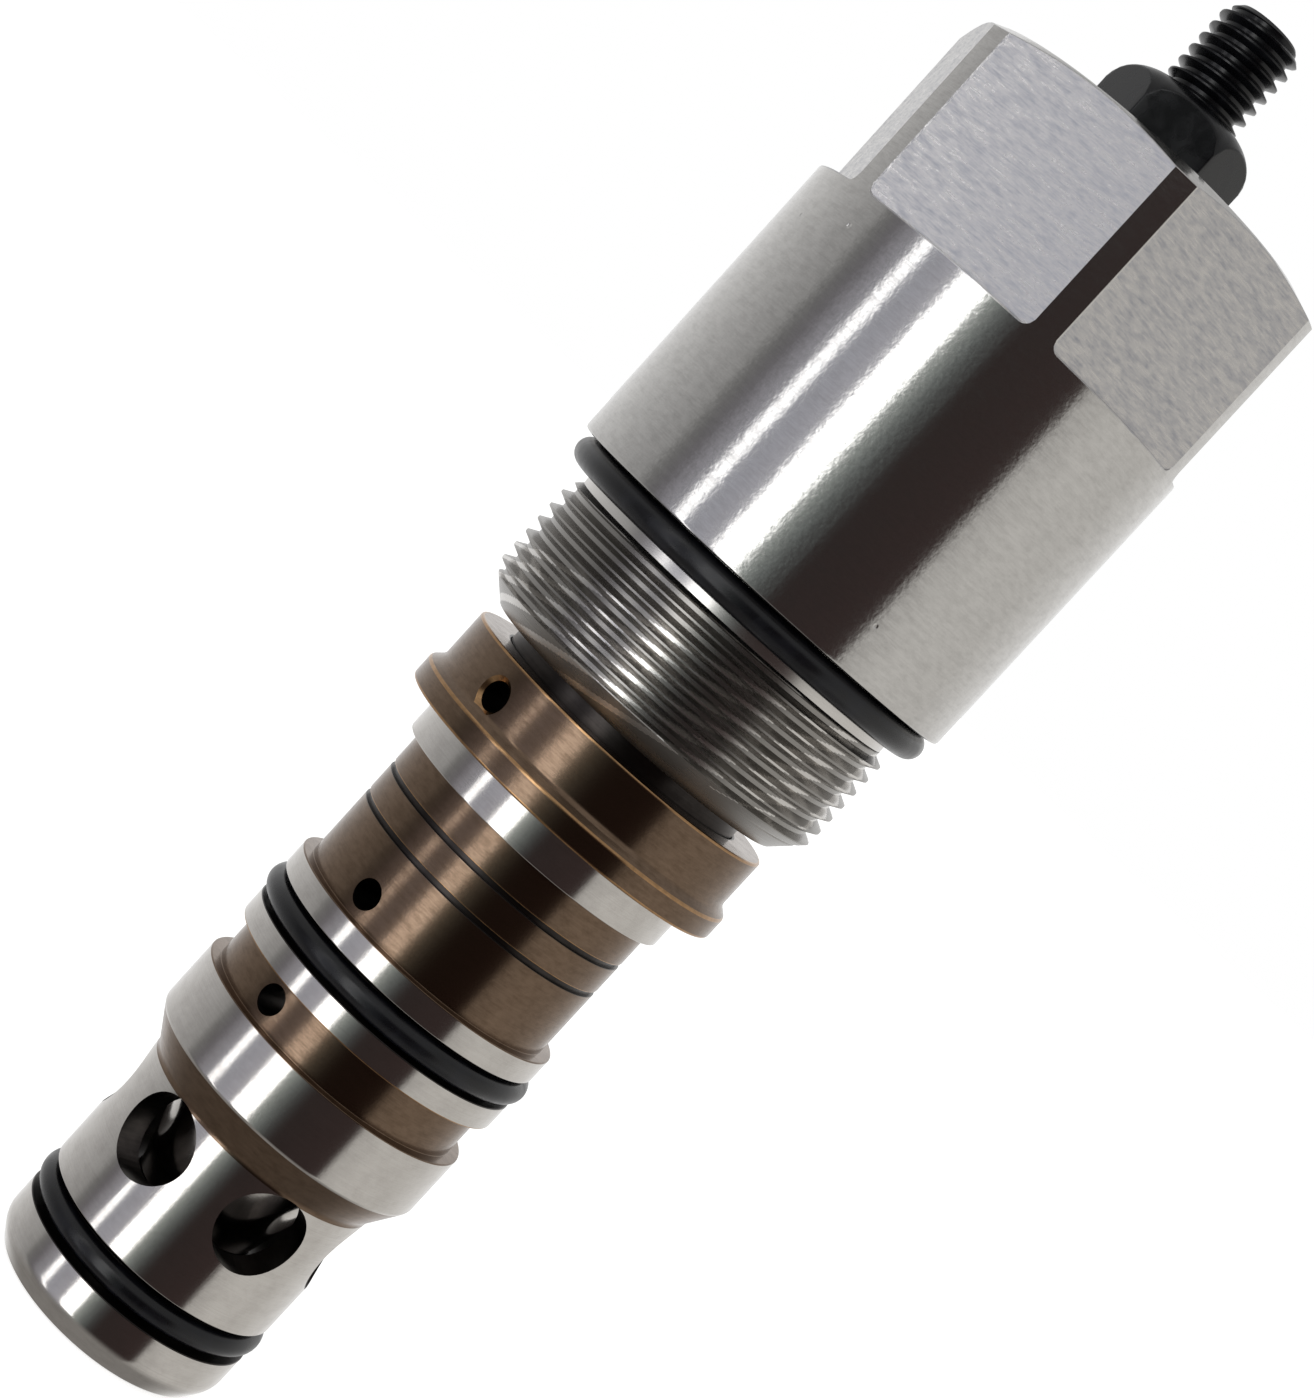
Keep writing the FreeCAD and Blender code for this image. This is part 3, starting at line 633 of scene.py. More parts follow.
def ring_pattern() -> Pattern:
    """Make the tree of a round-section ring that lies level on the axis."""
    pattern = Pattern("moulded ring", "Level", "Ring Radius", "Cord Radius")
    tree, given = pattern.tree, pattern.given
    path = add(tree, "GeometryNodeCurvePrimitiveCircle", {
        "Resolution": RING_STEPS, "Radius": given["Ring Radius"]})
    cord = add(tree, "GeometryNodeCurvePrimitiveCircle", {
        "Resolution": CORD_STEPS, "Radius": given["Cord Radius"]})
    swept = add(tree, "GeometryNodeCurveToMesh", {
        "Curve": path.outputs[0], "Profile Curve": cord.outputs[0]})
    level = add(tree, "ShaderNodeCombineXYZ", {"Z": given["Level"]})
    raised = add(tree, "GeometryNodeTransform", {
        "Geometry": swept.outputs[0], "Translation": level.outputs[0]})
    pattern.end(raised.outputs[0], {"Finish": True})
    return pattern


def coil_pattern() -> Pattern:
    """Make the tree of a compression spring whose end turns lie flat."""
    pattern = Pattern("coil spring", "Foot", "Top", "Coil Radius", "Wire Radius", "Turns", "Points",
                      "First Turn", "Last Turn")
    tree, given, sums = pattern.tree, pattern.given, pattern.sum_of
    drawn = sums("SUBTRACT", given["Last Turn"], given["First Turn"])
    count = sums("ADD", sums("MULTIPLY", drawn, given["Points"]), 1.0)
    line = add(tree, "GeometryNodeCurvePrimitiveLine")
    points = add(tree, "GeometryNodeResampleCurve", {"Curve": line.outputs[0], "Count": count})
    index = add(tree, "GeometryNodeInputIndex").outputs[0]
    wound = sums("ADD", given["First Turn"], sums("DIVIDE", index, given["Points"]))
    wire = sums("MULTIPLY", given["Wire Radius"], 2.0)
    last = sums("SUBTRACT", given["Turns"], 1.0)
    flat = sums("ADD", sums("MINIMUM", wound, 1.0), sums("MAXIMUM", sums("SUBTRACT", wound, last), 0.0))
    room = sums("SUBTRACT", sums("SUBTRACT", given["Top"], given["Foot"]), sums("MULTIPLY", wire, 3.0))
    climb = add(tree, "ShaderNodeMapRange", {
        "Value": wound, "From Min": 1.0, "From Max": last, "To Max": room})
    rise = sums("ADD", climb.outputs[0], sums("MULTIPLY", wire, flat))
    height = sums("ADD", sums("ADD", given["Foot"], given["Wire Radius"]), rise)
    angle = sums("MULTIPLY", wound, math.tau)
    helix = add(tree, "GeometryNodeSetPosition", {
        "Geometry": points.outputs[0], "Position": pattern.around(given["Coil Radius"], angle, height)})
    section = add(tree, "GeometryNodeCurvePrimitiveCircle", {
        "Resolution": WIRE_STEPS, "Radius": given["Wire Radius"]})
    swept = add(tree, "GeometryNodeCurveToMesh", {
        "Curve": helix.outputs[0], "Fill Caps": True, "Profile Curve": section.outputs[0]})
    pattern.end(swept.outputs[0], {"Finish": True})
    return pattern


def span(node: str) -> tuple[float, float, float]:
    """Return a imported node's foot, top and outer radius in millimetres."""
    low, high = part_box(node)
    return low.z / MM, high.z / MM, high.x / MM


def seat(piece: bpy.types.Object, group: Group, slot: str, *nodes: str) -> None:
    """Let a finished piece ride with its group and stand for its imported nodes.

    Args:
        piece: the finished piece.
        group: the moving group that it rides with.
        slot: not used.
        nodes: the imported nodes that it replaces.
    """
    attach(piece, group.value)
    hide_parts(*nodes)
    LOG.info("%s: %d faces, rides with %s", piece.name, len(piece.data.polygons), group.value)


@dataclass
class SteelBody:
    """Plated steel body: threaded lower end, barrel, and a head with six wrench flats."""

    shelf: FinishShelf
    threads: Pattern
    pitch: float = 1.5
    crest_radius: float = 18.0
    thread_length: float = 12.3
    relief_length: float = 3.6
    depth_over_pitch: float = 0.6134
    end_radius: float = 15.6
    barrel_edge: float = 0.3
    flats_length: float = 17.8
    half_flats: float = 18.0
    flats_turn: float = 9.65
    corner_radius: float = 0.8
    lip: float = 0.16
    top_chamfer_length: float = 1.1
    top_chamfer_drop: float = 2.7
    neck_hole: float = 12.72
    stub_hole: float = 11.02
    chamber_radius: float = 9.2
    plunger_hole: float = 6.03
    screw_hole: float = 4.06
    clearance: float = 0.02
    stub_length: float = 12.0
    plunger_fit: float = 13.2
    plunger_room: float = 3.0
    columns: int = 192
    flat_columns: int = 22

    def __post_init__(self) -> None:
        """Take the body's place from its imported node, and its inner steps from their neighbours."""
        self.foot, self.top, self.radius = span("valve_body")
        self.relief = self.foot + self.thread_length
        self.shoulder = self.relief + self.relief_length
        self.flats_foot = self.top - self.flats_length
        self.root_radius = self.crest_radius - self.depth_over_pitch * self.pitch
        self.stub_top = span("pilot_housing")[1] + self.clearance
        self.neck_top = self.stub_top - self.stub_length
        self.chamber_top = span("spring_plunger")[1] - self.plunger_fit
        self.plunger_top = span("spring_plunger")[1] + self.plunger_room

    def threaded_end(self) -> bpy.types.Object:
        """Build the lower end with its real helical thread.

        Returns:
            A closed tube with the thread, its relief and the end face.
        """
        relief_radius = self.root_radius - self.clearance
        points = soften([
            Corner(relief_radius, self.relief),
            Corner(relief_radius, self.shoulder),
            Corner(self.stub_hole, self.shoulder),
            Corner(self.stub_hole, self.neck_top),
            Corner(self.neck_hole, self.neck_top),
            Corner(self.neck_hole, self.foot, 0.3),
            Corner(self.end_radius, self.foot),
        ])
        # flank: the zinc darkened as painted shade; crest: the zinc lightened as painted highlight
        crest, flank = self.shelf.pick(Surface.LIT_CREST), self.shelf.pick(Surface.SHADED_FLANK)
        piece = shell("threaded_end", evenly(self.columns), lambda _: points, [crest], closed=False)
        self.threads.run(
            piece, Foot=self.foot * MM, Top=self.relief * MM, Crest_Radius=self.crest_radius * MM,
            Root_Radius=self.root_radius * MM, Foot_Radius=self.end_radius * MM,
            Top_Radius=relief_radius * MM, Pitch=self.pitch * MM, Rows=THREAD_ROWS,
            Columns=float(self.columns), Finish=flank, Crest_Finish=crest)
        dress_edges(piece)
        return piece

    def head_azimuths(self) -> list[float]:
        """Return azimuths that are closest together at the flats' sides and rounded corners."""
        edge = math.degrees(math.acos(self.half_flats / self.radius))
        chord = self.radius * math.sin(math.radians(edge))
        inner = math.degrees(math.asin((chord - self.corner_radius) / self.radius))
        offsets = [-30.0, -(30.0 + edge) / 2, -edge]
        offsets += [-edge + (edge - inner) * share / 6 for share in range(1, 6)]
        steps = self.flat_columns
        offsets += [-inner + 2 * inner * step / steps for step in range(steps + 1)]
        offsets += [-offset for offset in reversed(offsets[1:8])]
        starts = [self.flats_turn + 60 * number for number in range(6)]
        return [math.radians(start + offset) for start in starts for offset in offsets]

    def head_outline(self, azimuth: float) -> list[Point]:
        """Return the outline of barrel, ledge and flat at one azimuth.

        Args:
            azimuth: in radians.

        Returns:
            Points up the outside and down the inside. Where no flat is cut, the ledge has no width.
        """
        offset = (math.degrees(azimuth) - self.flats_turn + 30) % 60 - 30
        across = self.radius * math.sin(math.radians(offset))
        flat = min(self.half_flats / math.cos(math.radians(offset)), self.radius)
        if self.radius - flat < 0.0005:
            flat = self.radius
        chord = math.sqrt(self.radius ** 2 - self.half_flats ** 2)
        past = min(max(0.0, abs(across) - (chord - self.corner_radius)), self.corner_radius)
        ledge = self.flats_foot + self.corner_radius - math.sqrt(self.corner_radius ** 2 - past ** 2)
        lip = min(self.lip, (self.radius - flat) / 3)
        cone = self.radius - self.top_chamfer_drop
        slope = self.top_chamfer_length / self.top_chamfer_drop
        brow = self.top - (flat - cone) * slope
        turned, milled = 0, 1 if flat < self.radius else 0
        edge = self.barrel_edge
        return [
            (self.stub_hole, self.shoulder, turned),
            (self.radius - edge, self.shoulder, turned),
            (self.radius - edge * 0.3, self.shoulder + edge * 0.3, turned),
            (self.radius, self.shoulder + edge, turned),
            (self.radius, ledge - lip, milled),
            (self.radius - lip * 0.3, ledge - lip * 0.3, milled),
            (self.radius - lip, ledge, milled),
            (flat + lip * 0.5, ledge, milled),
            (flat, ledge + lip * 0.5, milled),
            (flat, brow - 0.08, milled),
            (flat - 0.08, brow, turned),
            (cone + 0.06, self.top - 0.02, turned),
            (cone - 0.1, self.top, turned),
            (self.screw_hole, self.top, turned),
            (self.screw_hole, self.plunger_top, turned),
            (self.plunger_hole, self.plunger_top, turned),
            (self.plunger_hole, self.chamber_top, turned),
            (self.chamber_radius, self.chamber_top, turned),
            (self.chamber_radius, self.stub_top, turned),
            (self.stub_hole, self.stub_top, turned),
        ]

    def build(self) -> None:
        """Build the body as one piece and seat it."""
        finishes = [self.shelf.pick(Surface.TURNED), self.shelf.pick(Surface.MILLED)]
        piece = shell("steel_body", self.head_azimuths(), self.head_outline, finishes)
        dress_edges(piece)
        lower = self.threaded_end()
        with bpy.context.temp_override(active_object=piece, selected_editable_objects=[piece, lower]):
            bpy.ops.object.join()
        seat(piece, Group.HOUSING, "plated_steel", "valve_body")


@dataclass
class ValveSleeve:
    """Valve sleeve: ground nose and lands, brown-toned waists and head, ports and drillings."""

    shelf: FinishShelf
    nose_radius: float = 12.1
    land_radius: float = 14.2
    waist_radius: float = 13.15
    collar_radius: float = 14.1
    head_radius: float = 16.05
    lead_length: float = 1.8
    lead_drop: float = 1.2
    edge: float = 0.12
    fine_groove_depth: float = 0.35
    fine_groove_width: float = 0.5
    inlet_radius: float = 6.3
    inlet_length: float = 12.5
    bore_radius: float = 9.0
    socket_radius: float = 12.76
    port_diameter: float = 8.0
    port_height: float = 17.7
    port_count: int = 6
    nose_groove: tuple[float, float, float] = (10.09, 5.2, 8.6)
    land_groove: tuple[float, float, float] = (12.34, 37.8, 40.8)
    wire_room: float = 0.08
    drilling: float = 2.8
    waist_drillings: tuple[float, float] = (33.4, 45.4)
    head_drilling: float = 64.9
    waist_azimuth: float = 240.0
    head_azimuth: float = 232.0
    bevel: float = 0.4
    columns: int = 216

    def __post_init__(self) -> None:
        """Take the sleeve's ends and its rings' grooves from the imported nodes."""
        self.foot, self.top, self.flange_radius = span("sleeve")
        self.wire_low, self.wire_high, self.wire_radius = span("sleeve_retaining_ring")

    def fine_groove(self, start: float) -> list[Corner]:
        """Return the corners of one fine oil groove in the upper waist."""
        floor = self.waist_radius - self.fine_groove_depth
        end = start + self.fine_groove_width
        return [
            # groove walls and floors take the bores' dark colour: painted shade
            Corner(self.waist_radius, start, 0.06, BORE_SHADE), Corner(floor, start, 0, BORE_SHADE),
            Corner(floor, end, 0, BORE_SHADE), Corner(self.waist_radius, end, 0.08, TONE, WEAR_GLINT)]

    def ring_groove(self, radius: float, floor: float, start: float, end: float) -> list[Corner]:
        """Return the corners of one O-ring groove between ground lands."""
        # groove walls and floors take the bores' dark colour: painted shade
        return [
            Corner(radius, start, self.edge, BORE_SHADE), Corner(floor, start, 0.1, BORE_SHADE),
            Corner(floor, end, 0.1, BORE_SHADE), Corner(radius, end, self.edge, BRIGHT)]

    def waist(self, low: float, high: float) -> list[Corner]:
        """Return the two inner corners of a brown waist between lands."""
        return [Corner(self.waist_radius, height, 0.08, TONE) for height in (low, high)]

    def corners(self) -> list[Corner]:
        """Return the whole outline, up the outside and down the inside."""
        nose, land, waist, edge = self.nose_radius, self.land_radius, self.waist_radius, self.edge
        collar, head, flange = self.collar_radius, self.head_radius, self.flange_radius
        bore, socket, groove = self.bore_radius, self.socket_radius, self.wire_radius + self.wire_room
        return [
            Corner(nose - self.lead_drop, self.foot, 0.3), Corner(nose, self.lead_length, 0.7),
            *self.ring_groove(nose, *self.nose_groove),
            Corner(nose, 21.9, 0.35, TONE), Corner(land, 25.2, 0.2, BRIGHT),
            Corner(land, 31.2, edge, TONE), *self.waist(31.2, 35.4),
            Corner(land, 35.4, edge, BRIGHT, WEAR_GLINT),
            *self.ring_groove(land, *self.land_groove),
            Corner(land, 43.2, edge, TONE), Corner(waist, 43.2, 0.08, TONE),
            *self.fine_groove(50.0), *self.fine_groove(53.2),
            Corner(waist, 56.9, 0.08, TONE), Corner(collar, 56.9, edge, BRIGHT),
            Corner(collar, 60.4, 0.05, TONE), Corner(flange, 60.4, 0.25, TONE, WEAR_GLINT),
            Corner(flange, 62.5, 0.18, TONE, WEAR_GLINT), Corner(head, 63.3, 0.4, TONE),
            Corner(head, self.top, 0.25, TONE, WEAR_GLINT), Corner(socket, self.top, 0.25, BORE_SHADE),
            Corner(socket, self.wire_high, 0, BORE_SHADE), Corner(groove, self.wire_high, 0, BORE_SHADE),
            Corner(groove, self.wire_low, 0, BORE_SHADE), Corner(socket, self.wire_low, 0, BORE_SHADE),
            Corner(socket, 58.8, 0, BORE_SHADE), Corner(bore, 58.8, 0.2, BORE_SHADE),
            Corner(bore, self.inlet_length, 0, BORE_SHADE), Corner(self.inlet_radius, self.inlet_length, 0, BORE_SHADE),
            Corner(self.inlet_radius, 0.8, 0, BRIGHT), Corner(self.inlet_radius + 0.8, self.foot, 0.1),
        ]

    def holes(self) -> list[Drilling]:
        """Return the nose ports and the small drillings, front and back."""
        step, wall = 360 / self.port_count, self.bore_radius - 1.4
        found = [Drilling(self.port_diameter, self.port_height, step * number, wall, 13.4)
                 for number in range(self.port_count)]
        for side in (0, 180):
            for height in self.waist_drillings:
                found.append(Drilling(self.drilling, height, self.waist_azimuth + side, wall, 14.6))
            found.append(Drilling(self.drilling, self.head_drilling, self.head_azimuth + side, 11.0, 17.4))
        return found

    def bevels(self) -> list[Drilling]:
        """Return the 45 degree bevels round the two drillings in the head."""
        start, reach = self.head_radius - self.bevel, self.head_radius + 0.05
        return [Drilling(self.drilling, self.head_drilling, self.head_azimuth + side, start, reach,
                         reach - start) for side in (0, 180)]

    def build(self) -> None:
        """Build the sleeve and seat it."""
        surfaces = (Surface.GROUND, Surface.TONED, Surface.SHADED_BORE, Surface.GLINTING_WEAR)
        finishes = [self.shelf.pick(surface) for surface in surfaces]
        points = soften(self.corners())
        piece = shell("ported_sleeve", evenly(self.columns), lambda _: points, finishes)
        # the port and drilling walls take the bores' dark colour: painted shade
        drill(piece, self.holes(), BORE_SHADE)
        drill(piece, self.bevels(), WEAR_GLINT)
        dress_edges(piece)
        seat(piece, Group.SLEEVE, "toned_steel", "sleeve")


@dataclass
class SealSet:
    """The three O-rings that show."""

    shelf: FinishShelf
    rings: Pattern

    def ring(self, name: str, node: str, group: Group) -> None:
        """Build one O-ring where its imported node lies.

        Args:
            name: the new piece's name.
            node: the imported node.
            group: the moving group that it rides with.
        """
        foot, top, outer = span(node)
        cord = (top - foot) / 2
        piece = stand(name, bpy.data.meshes.new(name))
        self.rings.run(piece, Level=(foot + cord) * MM, Ring_Radius=(outer - cord) * MM,
                       Cord_Radius=cord * MM, Finish=self.shelf.pick(Surface.NITRILE))
        dress_edges(piece)
        seat(piece, group, "nitrile_rubber", node)

    def build(self) -> None:
        """Build the three rings."""
        self.ring("shoulder_seal", "body_o_ring", Group.HOUSING)
        self.ring("land_seal", "mid_o_ring", Group.SLEEVE)
        self.ring("nose_seal", "nose_o_ring", Group.SLEEVE)


@dataclass(frozen=True)
class Stretch:
    """A run of a spring's turns, with the two groups and the heights at its ends."""

    name: str
    turns: tuple[float, float]
    groups: tuple[Group, Group]
    heights: tuple[float, float]


@dataclass
class SpringPair:
    """The main spring and the pilot spring."""

    shelf: FinishShelf
    coils: Pattern
    main_wire: float = 1.2
    main_turns: float = 9.0
    pilot_wire: float = 2.4
    pilot_turns: float = 6.5

    def spring(self, node: str, wire: float, turns: float, stretches: Sequence[Stretch]) -> None:
        """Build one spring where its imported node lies.

        Args:
            node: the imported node.
            wire: the wire's diameter.
            turns: how many turns the whole spring has.
            stretches: the runs of turns that it is made of, from the foot up.
        """
        foot, top, outer = span(node)
        for stretch in stretches:
            piece = stand(stretch.name, bpy.data.meshes.new(stretch.name))
            self.coils.run(
                piece, Foot=foot * MM, Top=top * MM, Coil_Radius=(outer - wire / 2) * MM,
                Wire_Radius=wire / 2 * MM, Turns=turns, Points=COIL_STEPS, First_Turn=stretch.turns[0],
                Last_Turn=stretch.turns[1], Finish=self.shelf.pick(Surface.DRAWN))
            dress_edges(piece)
            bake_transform(piece)
            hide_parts(node)
            LOG.info("%s: %d faces, bends", piece.name, len(piece.data.polygons))

    def build(self) -> None:
        """Build both springs. The pilot spring is made in two halves that meet at its middle."""
        foot, top, _ = span("main_spring")
        ends = (Group.MAIN_POPPET, Group.SLEEVE)
        whole = Stretch("closing_coil", (0.0, self.main_turns), ends, (foot, top))
        self.spring("main_spring", self.main_wire, self.main_turns, [whole])
        foot, top, _ = span("pilot_spring")
        middle, half = (foot + top) / 2, self.pilot_turns / 2
        lower = Stretch("pressure_coil_foot", (0.0, half), (Group.PILOT_POPPET, Group.HOUSING),
                        (foot, middle - self.pilot_wire / 2))
        upper = Stretch("pressure_coil_top", (half, self.pilot_turns), (Group.HOUSING, Group.PLUNGER),
                        (middle + self.pilot_wire / 2, top))
        self.spring("pilot_spring", self.pilot_wire, self.pilot_turns, [lower, upper])


@dataclass
class Adjuster:
    """Black adjusting screw and its domed lock nut."""

    shelf: FinishShelf
    threads: Pattern
    pitch: float = 1.25
    crest_radius: float = 4.0
    depth_over_pitch: float = 0.6134
    dog_radius: float = 2.9
    dog_length: float = 2.0
    dog_edge: float = 0.3
    end_radius: float = 3.0
    half_key: float = 2.0
    key_depth: float = 4.5
    point_depth: float = 1.0
    nut_half_flats: float = 6.5
    dome_rim: float = 3.7
    dome_drop: float = 3.2
    foot_chamfer: float = 0.5
    bore_edge: float = 0.35
    broken_edge: float = 0.16
    bore_radius: float = 4.06
    recess_radius: float = 5.3
    recess_depth: float = 1.26
    columns: int = 72
    dome_rows: int = 9

    @staticmethod
    def hexagon(azimuth: float, half_flats: float) -> float:
        """Return a hexagon's radius at an azimuth, with a corner at +X."""
        offset = azimuth % (math.pi / 3) - math.pi / 6
        return half_flats / math.cos(offset)

    def screw(self) -> None:
        """Build the screw with its real helical thread and a hex socket in its end."""
        foot, top, _ = span("adjusting_screw")

        def outline(azimuth: float) -> list[Point]:
            key = self.hexagon(azimuth, self.half_key)
            return [
                (self.end_radius, top, 0),
                (key + 0.12, top, 0),
                (key, top - 0.12, 0),
                (key, top - self.key_depth, 0),
                (0.0, top - self.key_depth - self.point_depth, 0),
                (0.0, foot, 0),
                (self.dog_radius - self.dog_edge, foot, 0),
                (self.dog_radius, foot + self.dog_edge, 0),
                (self.dog_radius, foot + self.dog_length, 0),
            ]

        black = self.shelf.pick(Surface.BLACKENED)
        piece = shell("threaded_adjuster", evenly(self.columns), outline, [black], closed=False)
        root = self.crest_radius - self.depth_over_pitch * self.pitch
        self.threads.run(
            piece, Foot=(foot + self.dog_length) * MM, Top=top * MM, Crest_Radius=self.crest_radius * MM,
            Root_Radius=root * MM, Foot_Radius=self.dog_radius * MM, Top_Radius=self.end_radius * MM,
            Pitch=self.pitch * MM, Rows=THREAD_ROWS, Columns=float(self.columns), Finish=black,
            Crest_Finish=black)
        dress_edges(piece)
        seat(piece, Group.SCREW, "black_steel", "adjusting_screw")

    def nut(self) -> None:
        """Build the nut: six flats under a dome, with a recess for its seal underneath."""
        foot, top, _ = span("lock_nut")
        widest = self.nut_half_flats / math.cos(math.pi / 6)

        def dome(radius: float) -> float:
            share = min(1.0, max(0.0, (radius - self.dome_rim) / (widest - self.dome_rim)))
            return top - self.dome_drop * (1 - math.sqrt(1 - share ** 2))

        def outline(azimuth: float) -> list[Point]:
            side = self.hexagon(azimuth, self.nut_half_flats)
            ease = (side - self.nut_half_flats) * 0.6 + self.foot_chamfer * 0.4
            points = [
                (self.recess_radius, foot, 0),
                (side - self.foot_chamfer - 0.1, foot, 0),
                (side, foot + ease, 0),
            ]
            inner = self.bore_radius + self.bore_edge
            for row in range(self.dome_rows + 1):
                radius = side + (inner - side) * (row / self.dome_rows) ** 1.4
                points.append((radius, dome(radius), 0))
            points += [
                (self.bore_radius, top - self.bore_edge, 0),
                (self.bore_radius, foot + self.recess_depth, 0),
                (self.recess_radius, foot + self.recess_depth, 0),
            ]
            return points

        piece = shell("domed_nut", evenly(self.columns), outline, [self.shelf.pick(Surface.BLACKENED)])
        dress_edges(piece)
        broken = piece.modifiers.new("broken edges", "BEVEL")
        broken.width, broken.segments, broken.limit_method = self.broken_edge * MM, 2, "ANGLE"
        broken.angle_limit = math.radians(SHARP_DEGREES)
        settle(piece)
        dress_edges(piece)
        seat(piece, Group.NUT, "black_steel", "lock_nut")

    def build(self) -> None:
        """Build the screw and the nut."""
        self.screw()
        self.nut()


@dataclass
class InnerPieces:
    """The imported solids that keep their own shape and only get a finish."""

    shelf: FinishShelf

    def build(self) -> None:
        """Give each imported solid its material."""
        finishes = {
            # the pilot housing and orifice take the bores' dark colour: painted shade
            Surface.SHADED_BORE: ("pilot_housing", "poppet_orifice"),
            Surface.GROUND: ("pilot_seat", "pilot_poppet", "main_poppet", "spring_plunger"),
            Surface.NITRILE: ("pilot_housing_o_ring", "pilot_seat_o_ring", "plunger_o_ring", "nut_seal"),
            Surface.SINTERED: ("poppet_screen",),
            Surface.DRAWN: ("sleeve_retaining_ring", "spring_shim"),
            Surface.PTFE: ("plunger_backup_ring",),
        }
        for surface, names in finishes.items():
            for name in names:
                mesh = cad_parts[name].data
                mesh.materials.clear()
                mesh.materials.append(self.shelf.pick(surface))
                LOG.info("%s: %s", name, surface.value)


WARM = "#fffdf9"


@dataclass(frozen=True)
class Glow:
    """How bright the room is at one bearing from the camera, positive to its right."""

    bearing: float
    level: float
    colour: str = "#ffffff"


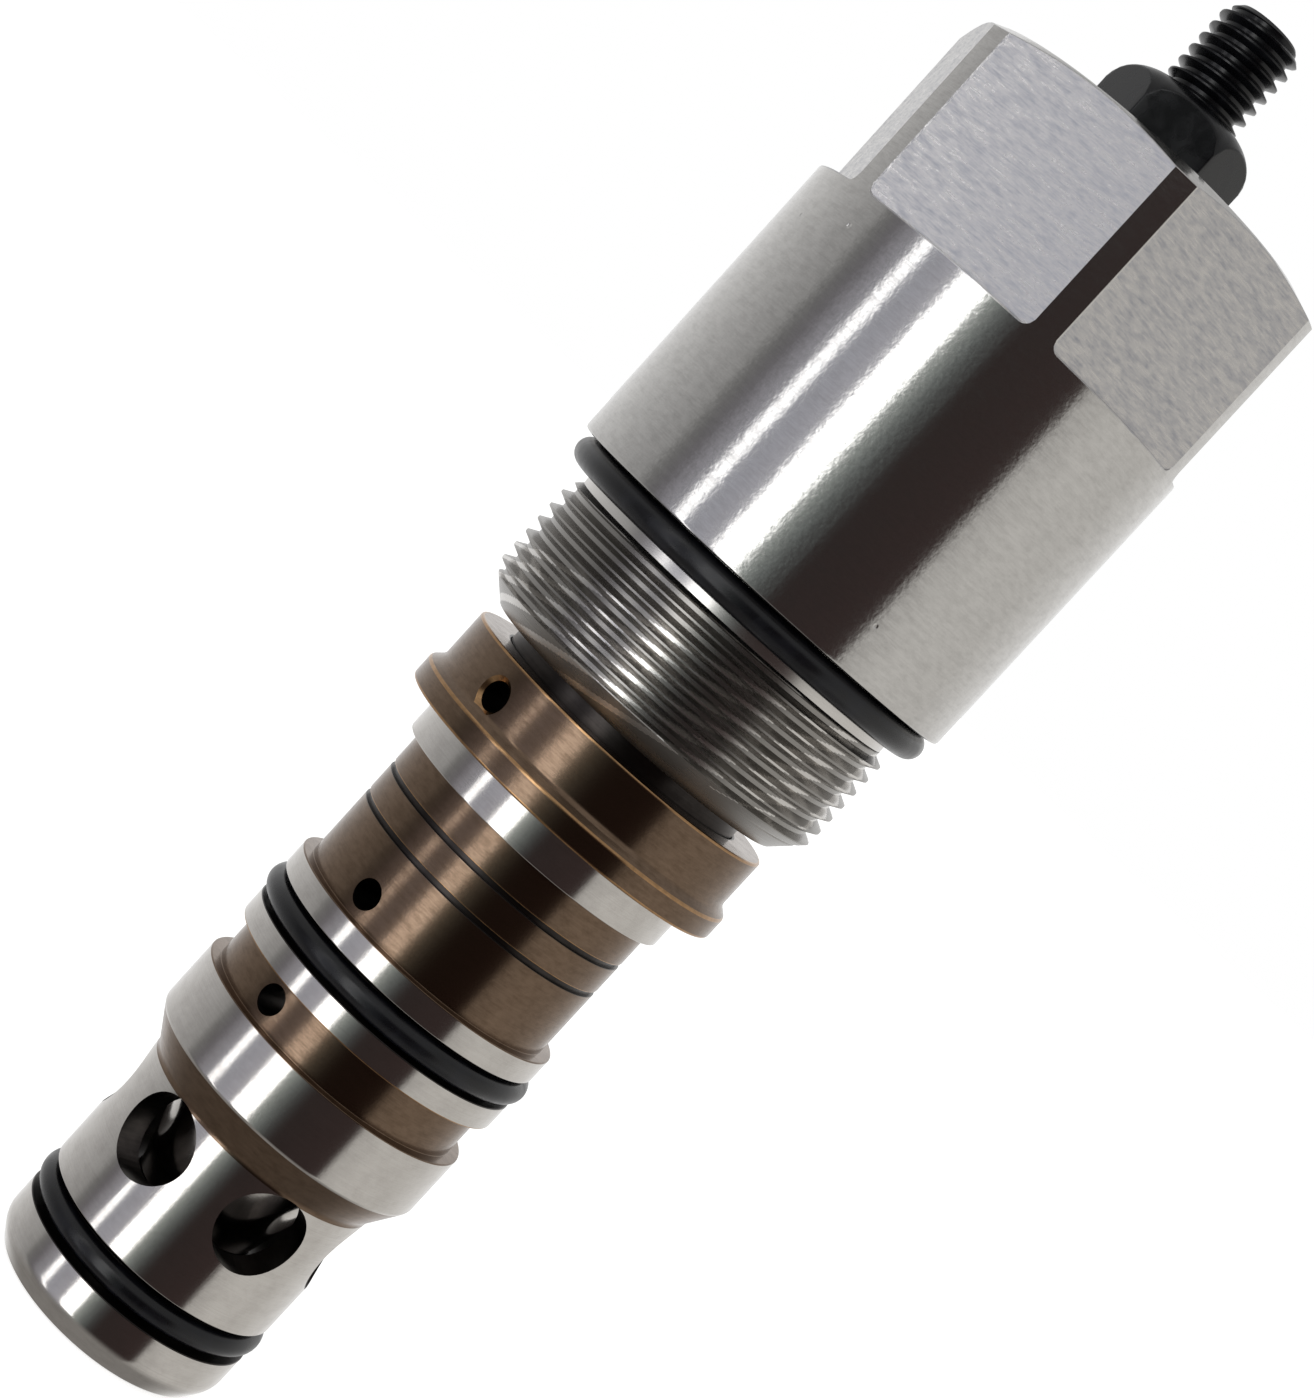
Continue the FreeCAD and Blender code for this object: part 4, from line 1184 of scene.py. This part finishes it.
@dataclass
class Studio:
    """Camera, soft boxes, a pale floor and a room whose walls are grey, with one dark opening."""

    camera_distance: float = 246.1
    camera_level: float = 94.4
    camera_azimuth: float = -88.81
    camera_pitch: float = 5.06
    camera_roll: float = 42.43
    lens: float = 74.2
    light_level: float = 80.0
    light_height: float = 1.3
    light_distance: float = 0.75
    floor_size: float = 8.0
    floor_drop: float = 0.1
    room: tuple[Glow, ...] = (
        Glow(-180, 0.95), Glow(-150, 0.80), Glow(-120, 0.58), Glow(-95, 0.42), Glow(-84, 0.36),
        Glow(-78, 0.20), Glow(-70, 0.18, "#faf6ff"), Glow(-63, 0.34, "#f6f4ff"),
        Glow(-46, 0.46, "#eceffc"), Glow(-33, 0.52, "#f0f0fc"), Glow(-12, 0.42, "#f2fbf6"),
        Glow(-4, 0.18, "#f0faf8"), Glow(3, 0.06), Glow(9, 0.034, "#ffe2de"), Glow(50, 0.044, "#ffd8d4"),
        Glow(54, 0.53, WARM), Glow(75, 0.64, WARM), Glow(110, 0.62, WARM), Glow(180, 0.95),
    )

    def bearing_vector(self, bearing: float) -> Vector:
        """Return the level direction at a bearing from the camera's side."""
        angle = math.radians(self.camera_azimuth + bearing)
        return Vector((math.cos(angle), math.sin(angle), 0))

    def camera(self) -> None:
        """Stand the camera a little above the middle, rolled so that the valve leans to the right."""
        data = bpy.data.cameras.new("camera")
        data.lens = self.lens
        data.clip_start = 0.01
        pitch, roll = math.radians(self.camera_pitch), math.radians(self.camera_roll)
        outward, zenith = self.bearing_vector(0), Vector((0, 0, 1))
        back = outward * math.cos(pitch) + zenith * math.sin(pitch)
        level = zenith.cross(outward)
        rise = back.cross(level)
        right = level * math.cos(roll) + rise * math.sin(roll)
        upward = rise * math.cos(roll) - level * math.sin(roll)
        camera = stand("camera", data)
        place = outward * self.camera_distance * MM + zenith * self.camera_level * MM
        turn = Matrix((right, upward, back)).transposed().to_4x4()
        camera.matrix_world = Matrix.Translation(place) @ turn
        bpy.context.scene.camera = camera

    def soft_box(self, name: str, bearing: float, width: float, radiance: float) -> None:
        """Stand a tall soft box beside the camera.

        Args:
            name: the light's name.
            bearing: degrees from the camera, positive to its right.
            width: in metres.
            radiance: how bright its face is.
        """
        data = bpy.data.lights.new(name, "AREA")
        data.shape, data.size, data.size_y = "RECTANGLE", width, self.light_height
        data.energy = radiance * math.pi * width * self.light_height
        light = stand(name, data)
        outward, zenith = self.bearing_vector(bearing), Vector((0, 0, 1))
        place = outward * self.light_distance + zenith * self.light_level * MM
        turn = Matrix((zenith.cross(outward), zenith, outward)).transposed().to_4x4()
        light.matrix_world = Matrix.Translation(place) @ turn
        light.visible_camera = False

    def world(self) -> None:
        """Make the room: grey walls by bearing, a pale ceiling, and white behind the valve."""
        world = bpy.data.worlds.new("studio room")
        bpy.context.scene.world = world
        world.use_nodes = True
        tree = world.node_tree
        tree.nodes.clear()
        way = add(tree, "ShaderNodeTexCoord").outputs["Generated"]
        aim = add(tree, "ShaderNodeVectorRotate", {
            "Vector": way, "Angle": -math.radians(self.camera_azimuth)}, rotation_type="Z_AXIS")
        parts = add(tree, "ShaderNodeSeparateXYZ", {0: aim.outputs[0]}).outputs
        bearing = add(tree, "ShaderNodeMath", {0: parts["Y"], 1: parts["X"]}, operation="ARCTAN2")
        share = add(tree, "ShaderNodeMapRange", {
            "Value": bearing.outputs[0], "From Min": -math.pi, "From Max": math.pi})
        walls = add(tree, "ShaderNodeValToRGB", {0: share.outputs[0]})
        stops = walls.color_ramp.elements
        ends = {0: 0, len(self.room) - 1: -1}
        for number, glow in enumerate(self.room):
            stop = stops[ends[number]] if number in ends else stops.new((glow.bearing + 180) / 360)
            stop.color = [glow.level * channel for channel in linear(glow.colour)[:3]] + [1]
        # above the walls the ceiling, below them the ground, and white for what the camera sees
        shown = walls.outputs[0]
        for start, end, colour in ((0.24, 0.5, (0.5, 0.5, 0.5, 1)), (-0.5, -0.8, (0.26, 0.25, 0.24, 1))):
            part = add(tree, "ShaderNodeMapRange", {
                "Value": parts["Z"], "From Min": start, "From Max": end})
            shown = add(tree, "ShaderNodeMix", {0: part.outputs[0], 6: shown, 7: colour},
                        data_type="RGBA").outputs[2]
        seen = add(tree, "ShaderNodeLightPath").outputs["Is Camera Ray"]
        shown = add(tree, "ShaderNodeMix", {0: seen, 6: shown, 7: (1, 1, 1, 1)}, data_type="RGBA")
        glow = add(tree, "ShaderNodeBackground", {"Color": shown.outputs[2], "Strength": 1.0})
        add(tree, "ShaderNodeOutputWorld", {"Surface": glow.outputs[0]})

    def floor(self) -> None:
        """Lay a pale floor under the nose. It lights itself a little, so it stays nearly white."""
        low = CAD_BOX[0].z - self.floor_drop * MM
        half = self.floor_size / 2
        mesh = bpy.data.meshes.new("floor")
        corners = [(-half, -half, low), (half, -half, low), (half, half, low), (-half, half, low)]
        mesh.from_pydata(corners, [], [(0, 1, 2, 3)])
        material, shader, place = start_material("painted table, matt white")
        tree = material.node_tree
        grain = add(tree, "ShaderNodeTexNoise", {"Vector": place, "Scale": 400.0, "Detail": 3.0})
        bump = add(tree, "ShaderNodeBump", {"Height": grain.outputs["Fac"], "Distance": 20 * MICRON})
        feed(tree, shader, {
            "Base Color": linear("#f4f4f2"), "Roughness": 0.8, "Emission Color": (1, 1, 1, 1),
            "Emission Strength": 0.72, "Normal": bump.outputs[0]})
        mesh.materials.append(material)
        floor = stand("floor", mesh)
        floor.visible_glossy = False

    def build(self) -> None:
        """Set up the whole studio."""
        bpy.context.scene.view_settings.view_transform = "Standard"
        self.camera()
        self.world()
        self.floor()
        self.soft_box("narrow soft box", -51.0, 0.08, 1.6)
        self.soft_box("broad soft box", -21.0, 0.2, 2.0)


def main() -> None:
    """Build the valve's looks and the studio."""
    logging.basicConfig(level=logging.INFO, format="%(name)s %(message)s")
    shelf = FinishShelf()
    threads = thread_pattern()
    Studio().build()
    SteelBody(shelf, threads).build()
    ValveSleeve(shelf).build()
    SealSet(shelf, ring_pattern()).build()
    SpringPair(shelf, coil_pattern()).build()
    Adjuster(shelf, threads).build()
    InnerPieces(shelf).build()


if __name__ == "__main__":
    main()
